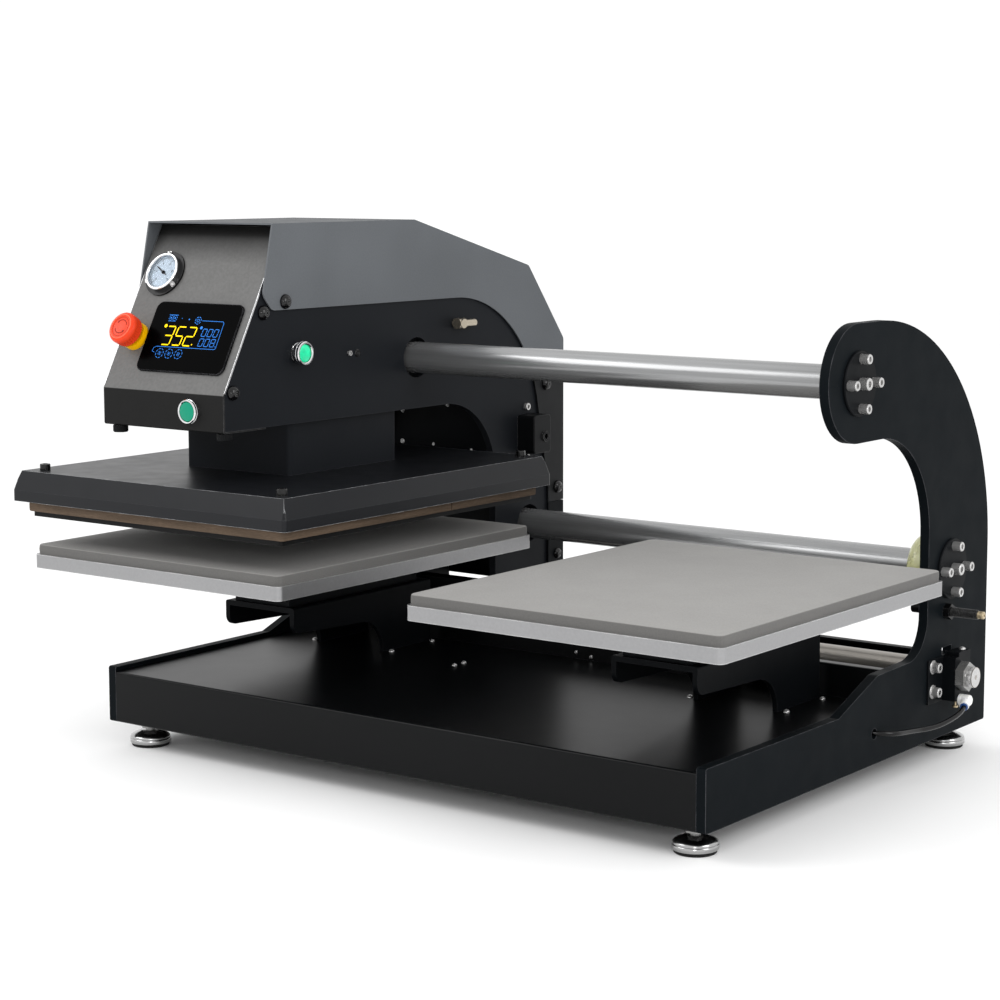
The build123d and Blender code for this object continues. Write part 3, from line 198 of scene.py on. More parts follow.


# The edge colours below paint bright edge lines: partly wear, partly painted highlights.
MAT = {
    "black": shader("black_powder", (0.0034, 0.0041, 0.0050), 0.42, ior=1.13, edge=0.35,
                    edge_colour=(0.05, 0.05, 0.055)),
    "plate": shader("plate_powder", (0.0046, 0.0062, 0.0076), 0.46, ior=1.09, edge=0.8,
                    edge_colour=(0.12, 0.12, 0.13), edge_width=0.0014),
    "head": shader("head_powder", (0.0092, 0.0104, 0.0126), 0.40, ior=1.14, edge=0.4,
                   edge_colour=(0.08, 0.08, 0.09)),
    "deck": shader("deck_powder", (0.0024, 0.0027, 0.0031), 0.30, ior=1.22, mottle=0.03, vary=0.006, edge=0.25,
                   edge_colour=(0.10, 0.10, 0.11), bump=0.0),
    # Hood: its upright sides are painted half again lighter than its roof, painted light; below 0.455 m, about the
    # rail's height, it is near black.
    "charcoal": shader("charcoal_powder", (0.070, 0.075, 0.081), 0.50, ior=1.22, edge=0.3,
                       edge_colour=(0.24, 0.24, 0.25), bump=0.14, painted_side_light=1.5, fade=(0.4556, 0.4544, 0.07)),
    # Control panel: its upright front is painted near black against the slanted face of the same sheet, painted
    # shade, and the top of the slope darker under the visor, a painted shadow.
    "panel": shader("panel_powder", (0.122, 0.121, 0.119), 0.48, ior=1.22, mottle=0.02, grain=0.08,
                    grain_scale=260.0, bump=0.34, bump_scale=460.0, depth=0.00014, edge=0.3,
                    edge_colour=(0.3, 0.3, 0.31), painted_side_light=0.05, painted_side_light_at=(0.1, 0.4), fade=(0.606, 0.640, 0.07)),
    "bare_edge": shader("bare_sheet_edge", (0.62, 0.62, 0.63), 0.30, 1.0, mottle=0.05, grain=0.06, bump=0.05),
    # The cover's edges are painted near white: painted highlights, partly wear.
    "cover": shader("cover_powder", (0.0058, 0.0064, 0.0082), 0.36, ior=1.30, mottle=0.04, vary=0.03, edge=0.95,
                    edge_colour=(0.60, 0.61, 0.63), edge_width=0.0009),
    # Its streaky tone along the rail is grinding marks and painted reflection bands.
    "rail": shader("ground_rail", (0.31, 0.313, 0.316), 0.24, 0.72, mottle=0.20, mottle_scale=3.0,
                   stretch=(0.4, 22, 22), grain=0.06, grain_scale=26.0, bump=0.02, bump_scale=60.0,
                   depth=0.00004, vary=0.03),
    "tube": shader("stainless_tube", (0.34, 0.318, 0.290), 0.34, 0.75, mottle=0.05, stretch=(0.6, 20, 20),
                   grain=0.05, grain_scale=22.0, bump=0.03, bump_scale=60.0, depth=0.00004),
    "chrome": shader("chrome", (0.74, 0.74, 0.75), 0.12, 1.0, mottle=0.03, grain=0.02, bump=0.02, vary=0.03),
    "cup": shader("foot_zinc", (0.42, 0.42, 0.42), 0.20, 1.0, mottle=0.06, grain=0.04, bump=0.04, vary=0.05),
    "zinc": shader("zinc_plate", (0.30, 0.30, 0.295), 0.30, 0.75, mottle=0.08, grain=0.06, bump=0.05, vary=0.08,
                   edge=0.5, edge_colour=(0.7, 0.7, 0.7), edge_width=0.0005),
    "screw": shader("screw_steel", (0.52, 0.515, 0.51), 0.27, 0.75, mottle=0.05, grain=0.05, bump=0.04,
                    edge=0.6, edge_colour=(0.85, 0.85, 0.86), edge_width=0.0004),
    # A paler, hardly metallic copy of the screw steel for the screws under the head's arch: painted light, so that
    # they show in its shade.
    "screw_painted_lit": shader("screw_steel_painted_lit", (0.80, 0.80, 0.79), 0.30, 0.15, mottle=0.05, grain=0.05, bump=0.04),
    "dark_screw": shader("black_oxide", (0.0018, 0.0018, 0.0020), 0.13, ior=1.42, grain=0.04, bump=0.015,
                         vary=0.03, edge=0.5, edge_colour=(0.22, 0.22, 0.22), edge_width=0.0005),
    "thread": shader("thread_oxide", (0.0020, 0.0020, 0.0022), 0.28, ior=1.3, grain=0.04, bump=0.02, edge=0.9,
                     edge_colour=(0.20, 0.20, 0.20), edge_width=0.0004),
    "rubber": shader("foot_rubber", (0.006, 0.006, 0.006), 0.70, spec=0.2, grain=0.15, bump=0.25,
                     bump_scale=900.0),
    "bumper": shader("bumper_urethane", (0.74, 0.74, 0.42), 0.28, mottle=0.06, grain=0.03, bump=0.05,
                     bump_scale=120.0, subsurface=0.5, clear=0.35, coat=0.3),
    "nickel": shader("nickel_plate", (0.44, 0.39, 0.31), 0.22, 0.85, mottle=0.05, grain=0.05, bump=0.04,
                     edge=0.6, edge_colour=(0.80, 0.74, 0.62), edge_width=0.0005),
    "brass": shader("brass", (0.50, 0.41, 0.27), 0.30, 0.75, mottle=0.06, grain=0.05, bump=0.05),
    "white": shader("white_plastic", (0.86, 0.86, 0.85), 0.28, mottle=0.03, grain=0.02, bump=0.03,
                    subsurface=0.1),
    "hose": shader("hose_plastic", (0.0015, 0.0015, 0.0018), 0.12, ior=1.36, mottle=0.1, grain=0.03, bump=0.01,
                   vary=0.03),
    "blue": shader("blue_plastic", (0.012, 0.06, 0.22), 0.3, mottle=0.04, grain=0.03, bump=0.03),
    "plastic": shader("black_plastic", (0.0040, 0.0044, 0.0050), 0.42, ior=1.2, grain=0.1, bump=0.15,
                      bump_scale=1100.0, edge=0.9, edge_colour=(0.30, 0.30, 0.30), edge_width=0.0006),
    # Its near-white edges are painted highlights, partly wear.
    "platen": shader("milled_platen", (0.305, 0.305, 0.31), 0.36, 0.85, mottle=0.02, mottle_scale=9.0,
                     grain=0.03, grain_scale=300.0, bump=0.03, bump_scale=500.0, vary=0.02, edge=0.9,
                     edge_colour=(0.80, 0.80, 0.80), edge_width=0.0018),
    # Pad sides painted darker than the top, painted shade.
    "foam": shader("silicone_pad", (0.27, 0.264, 0.255), 0.80, spec=0.2, mottle=0.03, mottle_scale=16.0,
                   grain=0.07, grain_scale=620.0, bump=0.30, bump_scale=800.0, depth=0.00015, sheen=0.06,
                   painted_side_light=0.42),
    "fibre": shader("insulation_fibre", (0.100, 0.070, 0.048), 0.75, spec=0.15, mottle=0.16, mottle_scale=20.0,
                    stretch=(1, 1, 9), grain=0.16, grain_scale=140.0, bump=0.4, bump_scale=160.0, depth=0.0003),
    "coated": shader("non_stick_coat", (0.0040, 0.0040, 0.0042), 0.42, ior=1.2, mottle=0.12, grain=0.08,
                     bump=0.06, edge=0.3, edge_colour=(0.08, 0.078, 0.075)),
    "screen": shader("display_glass", (0.0004, 0.0004, 0.0005), 0.22, spec=0.006, mottle=0.05, grain=0.02,
                     bump=0.0, vary=0.02, edge=0.9, edge_colour=(0.15, 0.15, 0.16), edge_width=0.0012),
    "dial": shader("dial_face", (0.50, 0.58, 0.66), 0.5, spec=0.1, mottle=0.10, mottle_scale=60.0, grain=0.02,
                   bump=0.02),
    "ink": shader("dial_ink", (0.006, 0.006, 0.009), 0.5, spec=0.1, mottle=0.05, grain=0.02, bump=0.0),
    "glass": shader("gauge_glass", (0.97, 0.98, 1.0), 0.02, mottle=0.01, grain=0.0, bump=0.0, vary=0.01,
                    clear=1.0, spec=0.05, ior=1.06),
    "flange": shader("gauge_flange_paint", (0.004, 0.004, 0.0045), 0.34, spec=0.16, grain=0.05, bump=0.04,
                     edge=0.3, edge_colour=(0.12, 0.12, 0.12), edge_width=0.0006),
    "yellow": shader("yellow_plastic", (0.86, 0.44, 0.0), 0.34, spec=0.15, mottle=0.04, grain=0.02, bump=0.03),
    "red": shader("red_plastic", (0.70, 0.048, 0.012), 0.32, spec=0.16, mottle=0.05, grain=0.02, bump=0.03),
    "red_light": shader("red_face_ring", (0.85, 0.13, 0.06), 0.36, spec=0.15, mottle=0.04, grain=0.02, bump=0.03),
    "red_dark": shader("red_marks", (0.24, 0.010, 0.004), 0.4, spec=0.1, mottle=0.04, grain=0.02, bump=0.03),
    "teal": shader("teal_lens", (0.0, 0.25, 0.145), 0.3, spec=0.25, mottle=0.05, grain=0.02, bump=0.03),
    "lit": shader("lit_green_lens", (0.01, 0.56, 0.27), 0.2, spec=0.3, mottle=0.25, mottle_scale=90.0,
                  grain=0.03, bump=0.04, glow=0.30, coat=0.3),
    "digit_yellow": shader("digit_yellow", (0.90, 0.62, 0.0), 0.4, spec=0.05, mottle=0.04, grain=0.0, bump=0.0,
                           glow=0.6),
    "digit_blue": shader("digit_blue", (0.020, 0.15, 0.52), 0.4, spec=0.05, mottle=0.10, grain=0.0, bump=0.0,
                         glow=0.6),
}

NODE_LOOKS = {
    "plate": ("side_plate_left", "side_plate_right"),
    "black": ("rear_channel", "rail_discs", "drive_blocks", "pedestal_left", "pedestal_right", "platen_carriers",
              "head_deck", "rear_panel", "bearing_upper", "bearing_mid", "drive_slider", "rear_cover"),
    "head": ("head_side_left", "head_side_right", "shroud"),
    "deck": ("base_pan",),
    "charcoal": ("hood",),
    "panel": ("control_panel",),
    "cover": ("heater_cover",),
    "dark_screw": ("cover_bolts",),
    "flange": ("gauge_flange",),
    "rail": ("upper_rail", "mid_rail"),
    "tube": ("drive_tube",),
    "chrome": ("gauge_bezel", "button_bezels", "press_rods"),
    "zinc": ("foot_cups", "foot_studs", "drive_nuts"),
    "nickel": ("flow_valve",),
    "screw": ("rail_screws",),
    "rubber": ("foot_pads",),
    "bumper": ("bumpers",),
    "white": ("push_fitting",),
    "plastic": ("cable_box", "thumb_screws", "stop_stem", "shock_bodies", "shock_plunger_left",
                "shock_plunger_right"),
    "platen": ("platen_left", "platen_right", "press_cylinder"),
    "coated": ("heating_plate",),
    "screen": ("display",),
    "dial": ("gauge_dial",),
    "ink": ("gauge_needle",),
    "glass": ("gauge_glass",),
    "yellow": ("stop_collar",),
    "red": ("stop_head",),
    "teal": ("start_cap",),
    "lit": ("side_cap",),
    "foam": ("pad_left", "pad_right"),
    "fibre": ("insulation",),
    "hose": ("air_hose",),
}
for look, names in NODE_LOOKS.items():
    for node_name in names:
        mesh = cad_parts[node_name].data
        mesh.materials.clear()
        mesh.materials.append(MAT[look])


# Meshes

class Shape:
    """Closed surfaces in millimetres about local axes, made into one piece that rides on a body."""

    def __init__(self, bm=None):
        self.bm = bm or bmesh.new()

    def lathe(self, matrix, profile, steps=48, ribs=0):
        """Turns (radius, height[, rib depth]) points about local Z. Points with radius 0 close the shape."""
        rings = []
        for p in profile:
            r, h, deep = (*p, 0.0)[:3]
            if r == 0:
                rings.append([self.bm.verts.new(matrix @ Vector((0, 0, h)))])
                continue
            loop = []
            for k in range(steps):
                a = 2 * math.pi * k / steps
                s = r + deep * math.cos(ribs * a)
                loop.append(self.bm.verts.new(matrix @ Vector((s * math.cos(a), s * math.sin(a), h))))
            rings.append(loop)
        for a, b in zip(rings, rings[1:]):
            for k in range(steps):
                n = (k + 1) % steps
                if len(a) == 1:
                    self.bm.faces.new((a[0], b[n], b[k]))
                elif len(b) == 1:
                    self.bm.faces.new((a[k], a[n], b[0]))
                else:
                    self.bm.faces.new((a[k], a[n], b[n], b[k]))

    def prism(self, matrix, outline, h0, h1):
        """A flat outline of (x, y) points given thickness along local Z."""
        low = [self.bm.verts.new(matrix @ Vector((x, y, h0))) for x, y in outline]
        high = [self.bm.verts.new(matrix @ Vector((x, y, h1))) for x, y in outline]
        self.bm.faces.new(list(reversed(low)))
        self.bm.faces.new(high)
        for k in range(len(outline)):
            n = (k + 1) % len(outline)
            self.bm.faces.new((low[k], low[n], high[n], high[k]))

    def stroke(self, matrix, points, width, h0, h1):
        """A flat line of even width through (x, y) points."""
        for (x0, y0), (x1, y1) in zip(points, points[1:]):
            run = math.hypot(x1 - x0, y1 - y0)
            ux, uy = (x1 - x0) / run * width / 2, (y1 - y0) / run * width / 2
            self.prism(matrix, [(x0 - ux + uy, y0 - uy - ux), (x1 + ux + uy, y1 + uy - ux),
                                (x1 + ux - uy, y1 + uy + ux), (x0 - ux - uy, y0 - uy + ux)], h0, h1)

    def make(self, name, body, look, slot, sharp=35.0, stands_for=()):
        bmesh.ops.recalc_face_normals(self.bm, faces=self.bm.faces)
        mesh = bpy.data.meshes.new(name)
        self.bm.to_mesh(mesh)
        self.bm.free()
        mesh.polygons.foreach_set("use_smooth", [True] * len(mesh.polygons))
        mesh.set_sharp_from_angle(angle=math.radians(sharp))
        mesh.materials.append(MAT[look])
        piece = bpy.data.objects.new(name, mesh)
        bpy.context.scene.collection.objects.link(piece)
        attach(piece, body)
        if stands_for:
            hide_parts(*stands_for)
        return piece


def rounded(w, h, r, steps):
    """Points round a rectangle with rounded corners."""
    points = []
    for k, (sx, sy) in enumerate(((1, 1), (-1, 1), (-1, -1), (1, -1))):
        for i in range(steps + 1):
            a = math.radians(90 * k + 90 * i / steps)
            points.append((sx * (w / 2 - r) + r * math.cos(a), sy * (h / 2 - r) + r * math.sin(a)))
    return points


def dome_screw(shape, matrix, r, h):
    """Button head screw with a round socket."""
    socket, rim, floor = r * 0.42, h * 0.18, h - h * 0.55
    profile = [(0, -1.0), (r, -1.0), (r, rim)]
    for k in range(1, 7):
        a = math.radians(13.5 * k)
        profile.append((r * math.cos(a) * 0.98, rim + (h - rim) * math.sin(a)))
    profile += [(socket * 1.12, h), (socket, h - 0.3), (socket * 0.95, floor), (0, floor)]
    shape.lathe(matrix, profile, 36)


def cap_screw(shape, matrix, r, h):
    """Socket cap screw with a knurled side."""
    socket = r * 0.5
    floor = h - r * 0.7
    shape.lathe(matrix, [(0, -0.5), (r, -0.5), (r, 0.3), (r, 0.5, 0.12), (r, h - 1.0, 0.12), (r, h - 0.8),
                         (r * 0.9, h), (socket * 1.1, h), (socket, h - 0.4), (socket, floor), (0, floor)], 64, 24)


def washer(shape, matrix, r):
    shape.lathe(matrix, [(0, 0), (r, 0), (r, 0.9), (r - 0.4, 1.3), (0, 1.3)], 36)


# The air hose, from the elbow on the right drive block into the base

HOSE_R = 3.0
ELBOW = Vector((468.0, 370.0, 79.0))
HOSE_WAY = Vector((0.28, -0.90, -0.34)).normalized()
HOSE_EXIT = ELBOW + HOSE_WAY * 14.0
HOSE_POINTS = [HOSE_EXIT, HOSE_EXIT + HOSE_WAY * 14.0, Vector((470.0, 304.0, 61.5)), Vector((464.0, 278.0, 60.5)),
               Vector((458.0, 258.0, 61.5)), Vector((455.0, 187.0, 68.6)), Vector((385.0, 187.0, 68.6))]


def make_hose():
    curve = bpy.data.curves.new("air_hose_line", "CURVE")
    curve.dimensions, curve.bevel_depth = "3D", HOSE_R * MM
    curve.bevel_resolution, curve.resolution_u = 6, 16
    curve.use_fill_caps = True
    spline = curve.splines.new("NURBS")
    spline.points.add(len(HOSE_POINTS) - 1)
    for p, q in zip(spline.points, HOSE_POINTS):
        p.co = (*point(*q), 1.0)
    spline.order_u = 3
    spline.use_endpoint_u = True
    curve.materials.append(MAT["hose"])
    hose = bpy.data.objects.new("air_hose_line", curve)
    bpy.context.scene.collection.objects.link(hose)
    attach(hose, "frame")
    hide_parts("air_hose")


make_hose()


# Pads: silicone foam sheets, slightly crowned, with soft uneven sides that bulge a little

def make_pad(side, cx):
    w, d, z0, z1, corner = 401.2, 483.2, 247.0, 259.0, 9.0
    edge, crown, tuck, bulge, sway, wave = 1.2, 0.2, 0.25, 0.35, 0.25, 0.12
    border_step, rows = 12, 13
    bm = bmesh.new()
    levels = [(0.0, z0), (tuck, z0 + 0.6)]   # inset and height
    for k in (1, 2, 3):
        levels.append((tuck - bulge * math.sin(math.pi * k / 4), z0 + (z1 - z0) * k / 4))
    for k in range(5):
        a = math.radians(90 * k / 4)
        levels.append((tuck + edge * (1 - math.cos(a)), z1 - edge + edge * math.sin(a)))
    corners = rounded(w, d, corner, 10)
    border = []
    for (x0, y0), (x1, y1) in zip(corners, corners[1:] + corners[:1]):
        cuts = max(1, round(math.hypot(x1 - x0, y1 - y0) / border_step))
        border += [(x0 + (x1 - x0) * i / cuts, y0 + (y1 - y0) * i / cuts) for i in range(cuts)]
    rings = []
    for inset, z in levels:
        kx, ky = 1 - 2 * inset / w, 1 - 2 * inset / d
        sways = [sway * noise.noise(Vector((x * 0.03 + cx, y * 0.03, z * 0.2))) for x, y in border]
        rings.append([bm.verts.new(point(cx + x * kx + m, y * ky + m, z)) for (x, y), m in zip(border, sways)])
    inner = levels[-1][0]
    for step in range(1, rows):
        share = 1 - step / rows
        kx, ky = share * (1 - 2 * inner / w), share * (1 - 2 * inner / d)
        top = z1 + crown * (1 - share ** 4)
        rings.append([bm.verts.new(point(cx + x * kx, y * ky,
                                         top + wave * noise.noise(Vector((x * kx * 0.02, y * ky * 0.02, cx)))))
                      for x, y in border])
    for a, b in zip(rings, rings[1:]):
        for k in range(len(border)):
            n = (k + 1) % len(border)
            bm.faces.new((a[k], a[n], b[n], b[k]))
    bm.faces.new(rings[-1])
    bm.faces.new(list(reversed(rings[0])))
    shape = Shape(bm)
    pad = shape.make("silicone_pad_" + side, "frame", "foam", "pad_foam", sharp=50, stands_for=("pad_" + side,))


for side, x in STATIONS.items():
    make_pad(side, x)


# Insulation between the heating plate and the cover, with a cut on its right side

def make_insulation():
    shape = Shape()
    half_w, half_d, z0, z1 = 210.5, 244.5, 300.0, 340.0
    cut_y0, cut_y1, cut_end = 65.0, 67.0, half_w - 30
    outline = rounded(2 * half_w, 2 * half_d, 4.0, 6)
    cut = [(half_w, cut_y0), (cut_end, cut_y0), (cut_end, cut_y1), (half_w, cut_y1)]
    start = next(i for i, (x, y) in enumerate(outline) if x > half_w - 0.01 and y > cut_y1)
    outline = outline[:start] + cut + outline[start:]
    matrix = place(HEAD_X, 0, 0)
    previous = []
    for inset, z in ((1.0, z0), (0.2, z0 + 0.8), (0.0, z0 + 4), (0.0, z0 + 9), (0.3, z0 + 13), (0.3, z1)):
        k = 1 - inset / half_w
        loop = [shape.bm.verts.new(matrix @ Vector((x * k, y * k, z))) for x, y in outline]
        if previous:
            for i in range(len(loop)):
                n = (i + 1) % len(loop)
                shape.bm.faces.new((previous[i], previous[n], loop[n], loop[i]))
        else:
            shape.bm.faces.new(list(reversed(loop)))
        previous = loop
    shape.bm.faces.new(previous)
    piece = shape.make("insulation_board", "heat_platen", "fibre", "insulation", sharp=50,
                       stands_for=("insulation",))


make_insulation()


# Control panel: its bare edges, and generic digits and signs behind black glass

PANEL_TILT = math.radians(61.7)
PANEL_UP = (0, math.cos(PANEL_TILT), math.sin(PANEL_TILT))
PANEL_OUT = (0, -math.sin(PANEL_TILT), math.cos(PANEL_TILT))
PANEL_FRONT = -219.5                     # y of the head's upright front, and of the panel's foot
PANEL_FOOT_Z = 457.5
PANEL_LEN = 220.1


def on_panel(x, s, h=0.0):
    """Frame on the slanted panel, x from the head's middle, s up the slope and h out of it."""
    y = PANEL_FRONT + s * PANEL_UP[1] + h * PANEL_OUT[1]
    z = PANEL_FOOT_Z + s * PANEL_UP[2] + h * PANEL_OUT[2]
    return place(HEAD_X + x, y, z, PANEL_OUT, PANEL_UP)


def make_panel_edges():
    edges = Shape()
    inside, outside, foot, top = -0.18, 0.15, 3.0, PANEL_LEN - 2
    for sign in (1, -1):
        edges.prism(on_panel(sign * HEAD_HALF, 0), [(inside, foot), (outside, foot), (outside, top), (inside, top)],
                    -2.0, 0.12)
    edges.make("panel_edges", "head", "bare_edge", "screw_steel")


make_panel_edges()

SEGMENTS = {"0": "abcdef", "2": "abged", "3": "abgcd", "5": "afgcd", "8": "abcdefg"}
SLANT = 0.10                             # how far the digits lean, for each unit of height
INK_T = 0.12                             # thickness of digits and signs
DISPLAY = (16.0, 70.0, 3.0)              # the glass's middle, as on_panel takes it
DISPLAY_SIZE = (142.0, 91.1)


def leaning(matrix, y0):
    """The same frame with its upright lines leaning to the right about the height y0."""
    lean = Matrix.Identity(4)
    lean[0][1], lean[0][3] = SLANT, -SLANT * y0
    return matrix @ lean


def digit(shape, matrix, sign, x, y, w, h, t):
    """Seven-segment digit whose lower left corner is at (x, y)."""
    right, mid, top, gap = x + w, y + h / 2, y + h, t * 0.30
    lines = {"e": ((x, y + gap), (x, mid - gap)), "c": ((right, y + gap), (right, mid - gap)),
             "f": ((x, mid + gap), (x, top - gap)), "b": ((right, mid + gap), (right, top - gap))}
    for key, level in (("a", top), ("g", mid), ("d", y)):
        lines[key] = ((x + gap, level), (right - gap, level))
    for key in SEGMENTS[sign]:
        (x0, y0), (x1, y1) = lines[key]
        run = math.hypot(x1 - x0, y1 - y0)
        ux, uy = (x1 - x0) / run * t / 2, (y1 - y0) / run * t / 2
        shape.prism(leaning(matrix, y), [(x0, y0), (x0 + ux + uy, y0 + uy - ux), (x1 - ux + uy, y1 - uy - ux),
                                         (x1, y1), (x1 - ux - uy, y1 - uy + ux), (x0 + ux - uy, y0 + uy + ux)],
                    0.0, INK_T)


def ring(shape, matrix, x, y, r, t, dashes=0):
    """Thin ring, whole or in dashes."""
    parts, share, steps = (dashes, 0.62, 3) if dashes else (1, 1.0, 24)
    r0, r1 = r - t / 2, r + t / 2
    for k in range(parts):
        a0 = 2 * math.pi * k / parts
        arc = [a0 + 2 * math.pi / parts * share * i / steps for i in range(steps + 1)]
        for a, b in zip(arc, arc[1:]):
            shape.prism(matrix, [(radius * math.cos(turn) + x, radius * math.sin(turn) + y)
                                 for radius, turn in ((r0, a), (r1, a), (r1, b), (r0, b))], 0.0, INK_T)


def dot(shape, matrix, x, y, r):
    shape.prism(matrix, [(x + r * math.cos(a * math.pi / 8), y + r * math.sin(a * math.pi / 8)) for a in range(16)],
                0.0, INK_T)


def make_display():
    face = on_panel(*DISPLAY)
    w, h = DISPLAY_SIZE

    def u(a):                            # share of the width from the left
        return (a - 0.5) * w

    def v(b):                            # share of the height from the top
        return (0.5 - b) * h

    big = Shape()
    pitch, digit_w, digit_h, line = 17.4, 12.4, 24.0, 1.5
    for k, sign in enumerate("352"):
        digit(big, face, sign, u(0.205) + k * pitch, v(0.62), digit_w, digit_h, line)
    dot(big, face, u(0.195) - 1.0, v(0.352), 2.3)
    dot(big, face, u(0.555), v(0.60), 0.9)
    big.make("display_large_digits", "head", "digit_yellow", "yellow")
    small = Shape()
    pitch, digit_w, digit_h, line = 9.4, 6.4, 9.6, 0.8
    for row, signs in ((0.475, "000"), (0.615, "008")):
        for k, sign in enumerate(signs):
            digit(small, face, sign, u(0.625) + k * pitch, v(row), digit_w, digit_h, line)
    dot(small, face, u(0.600), v(0.355), 2.0)
    dot(small, face, u(0.825), v(0.61), 0.6)
    small.stroke(leaning(face, v(0.655)),
                 [(u(0.560), v(0.255)), (u(0.795), v(0.255)), (u(0.812), v(0.280)), (u(0.836), v(0.630)),
                  (u(0.828), v(0.650)), (u(0.165), v(0.650)), (u(0.135), v(0.672)), (u(0.135), v(0.720)),
                  (u(0.160), v(0.735))], 0.6, 0.0, INK_T)
    for a in (0.222, 0.331, 0.440):
        ring(small, face, u(a), v(0.745), 6.0, 0.7, 8)
        ring(small, face, u(a), v(0.745), 2.2, 0.6, 4)
        dot(small, face, u(a), v(0.745), 0.8)
    ring(small, face, u(0.535), v(0.255), 4.6, 0.8, 7)
    ring(small, face, u(0.535), v(0.255), 1.9, 0.6)
    for a in (0.215, 0.262):
        ring(small, face, u(a), v(0.235), 3.2, 0.6, 6)
        dot(small, face, u(a), v(0.235), 1.1)
    small.stroke(face, [(u(0.190), v(0.192)), (u(0.290), v(0.192))], 0.6, 0.0, INK_T)
    small.stroke(face, [(u(0.195), v(0.280)), (u(0.275), v(0.280))], 0.5, 0.0, INK_T)
    dot(small, face, u(0.345), v(0.235), 0.5)
    dot(small, face, u(0.430), v(0.245), 0.9)
    small.make("display_small_signs", "head", "digit_blue", "screen")


make_display()


# Pressure gauge: ticks, numbers, rim, and three clamps on its flange

GAUGE_X, GAUGE_UP = -62.5, 153.0         # its middle, as on_panel takes it
DIAL_H, FLANGE_H = 4.0, 2.5              # the faces of its dial and flange above the panel


def make_gauge():
    dial = on_panel(GAUGE_X, GAUGE_UP, DIAL_H)
    first, sweep, divisions, tick_r, number_r = 225, 270, 50, 20.0, 13.0
    ticks = Shape()
    for k in range(divisions + 1):
        a = math.radians(first - sweep * k / divisions)
        start, t = (16.0, 0.55) if k % 10 == 0 else (18.0, 0.28)
        ticks.stroke(dial, [(r * math.cos(a), r * math.sin(a)) for r in (start, tick_r)], t, 0.0, 0.1)
    ring(ticks, dial, 0, 0, 20.3, 0.25)
    ticks.make("gauge_ticks", "head", "ink", "black_plastic")
    for k, text in enumerate(("0", "2", "4", "6", "8", "10")):
        a = math.radians(first - sweep / 5 * k)
        font = bpy.data.curves.new("n", "FONT")
        font.body, font.size, font.align_x, font.align_y = text, 4.2, "CENTER", "CENTER"
        font.extrude = 0.05
        source = bpy.data.objects.new("n", font)
        bpy.context.scene.collection.objects.link(source)
        bpy.context.view_layer.update()
        mesh = bpy.data.meshes.new_from_object(source)
        bpy.data.objects.remove(source)
        mesh.transform(dial @ Matrix.Translation((number_r * math.cos(a), number_r * math.sin(a), 0.06)))
        mesh.materials.clear()
        mesh.materials.append(MAT["ink"])
        number = bpy.data.objects.new("gauge_number_" + text, mesh)
        bpy.context.scene.collection.objects.link(number)
        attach(number, "head")
    clamps = Shape()
    for turn in (95, 325, 205):
        turned = on_panel(GAUGE_X, GAUGE_UP, FLANGE_H) @ Matrix.Rotation(math.radians(turn), 4, "Z")
        clamps.prism(turned, [(23.6, -2.9), (28.2, -2.9), (29.0, -1.6), (29.0, 1.6), (28.2, 2.9), (23.6, 2.9)],
                     0.0, 1.6)
        dome_screw(clamps, turned @ Matrix.Translation((26.4, 0, 1.6)), 2.4, 2.0)
    clamps.make("gauge_clamps", "head", "screw", "screw_steel", sharp=30)
    lip = Shape()
    lip.lathe(on_panel(GAUGE_X, GAUGE_UP),
              [(21.3, 7.2), (21.45, 8.3), (22.0, 9.0), (23.2, 9.2), (24.2, 8.9), (24.75, 8.1),
               (24.8, 6.6), (24.55, 6.2), (24.2, 6.6), (21.6, 6.8), (21.3, 7.2)], 72)
    lip.make("gauge_rim", "head", "chrome", "chrome_rail", sharp=60)


make_gauge()


# Emergency stop head: ribbed mushroom with a lighter face ring and two turning arrows

STOP_X, STOP_UP = -73.0, 68.0            # its middle, as on_panel takes it


def raised(matrix, h):
    return matrix @ Matrix.Translation((0, 0, h))


def make_stop():
    base = on_panel(STOP_X, STOP_UP)
    bottom, top, stem_r = 13.0, 31.0, 4.3
    head = Shape()
    head.lathe(base, [(stem_r, bottom + 0.1), (18.4, bottom + 0.1), (19.0, bottom + 0.7), (19.1, bottom + 1.6),
                      (18.9, bottom + 2.0, 0.55), (19.3, top - 9.0, 0.55), (19.5, top - 8.4), (20.0, top - 7.4),
                      (20.0, top - 5.2), (19.4, top - 2.9), (18.0, top - 1.1), (16.0, top - 0.25), (14.0, top),
                      (13.2, top - 0.5), (12.2, top - 0.9), (0, top - 0.7)], 144, 36)
    head.lathe(base, [(stem_r, bottom + 0.1), (stem_r, bottom + 9.4), (0, bottom + 9.4)], 144)
    bmesh.ops.remove_doubles(head.bm, verts=head.bm.verts, dist=1e-7)
    head.make("stop_mushroom", "stop_knob", "red", "red", sharp=50, stands_for=("stop_head",))
    light = Shape()
    ring(light, raised(base, top - 0.28), 0, 0, 15.6, 1.4)
    light.make("stop_face_ring", "stop_knob", "red_light", "red", sharp=40)
    marks = Shape()
    face = raised(base, top - 0.85)
    ring(marks, face, 0, 0, 12.3, 0.45)
    arrow_r, arrow_half, thick = 8.6, 1.6, 0.3
    for k in range(2):
        a0 = math.radians(180 * k + 20)
        arc = [a0 + math.radians(110) * i / 10 for i in range(11)]
        marks.stroke(face, [(arrow_r * math.cos(a), arrow_r * math.sin(a)) for a in arc], 0.8, 0.0, thick)
        end, tip = arc[-1], a0 + math.radians(130)
        marks.prism(face, [(r * math.cos(a), r * math.sin(a)) for r, a in
                           ((arrow_r + arrow_half, end), (arrow_r, tip), (arrow_r - arrow_half, end))], 0.0, thick)
    marks.make("stop_marks", "stop_knob", "red_dark", "red", sharp=40)


make_stop()


# Buttons: turned bezels with grooves, domed caps

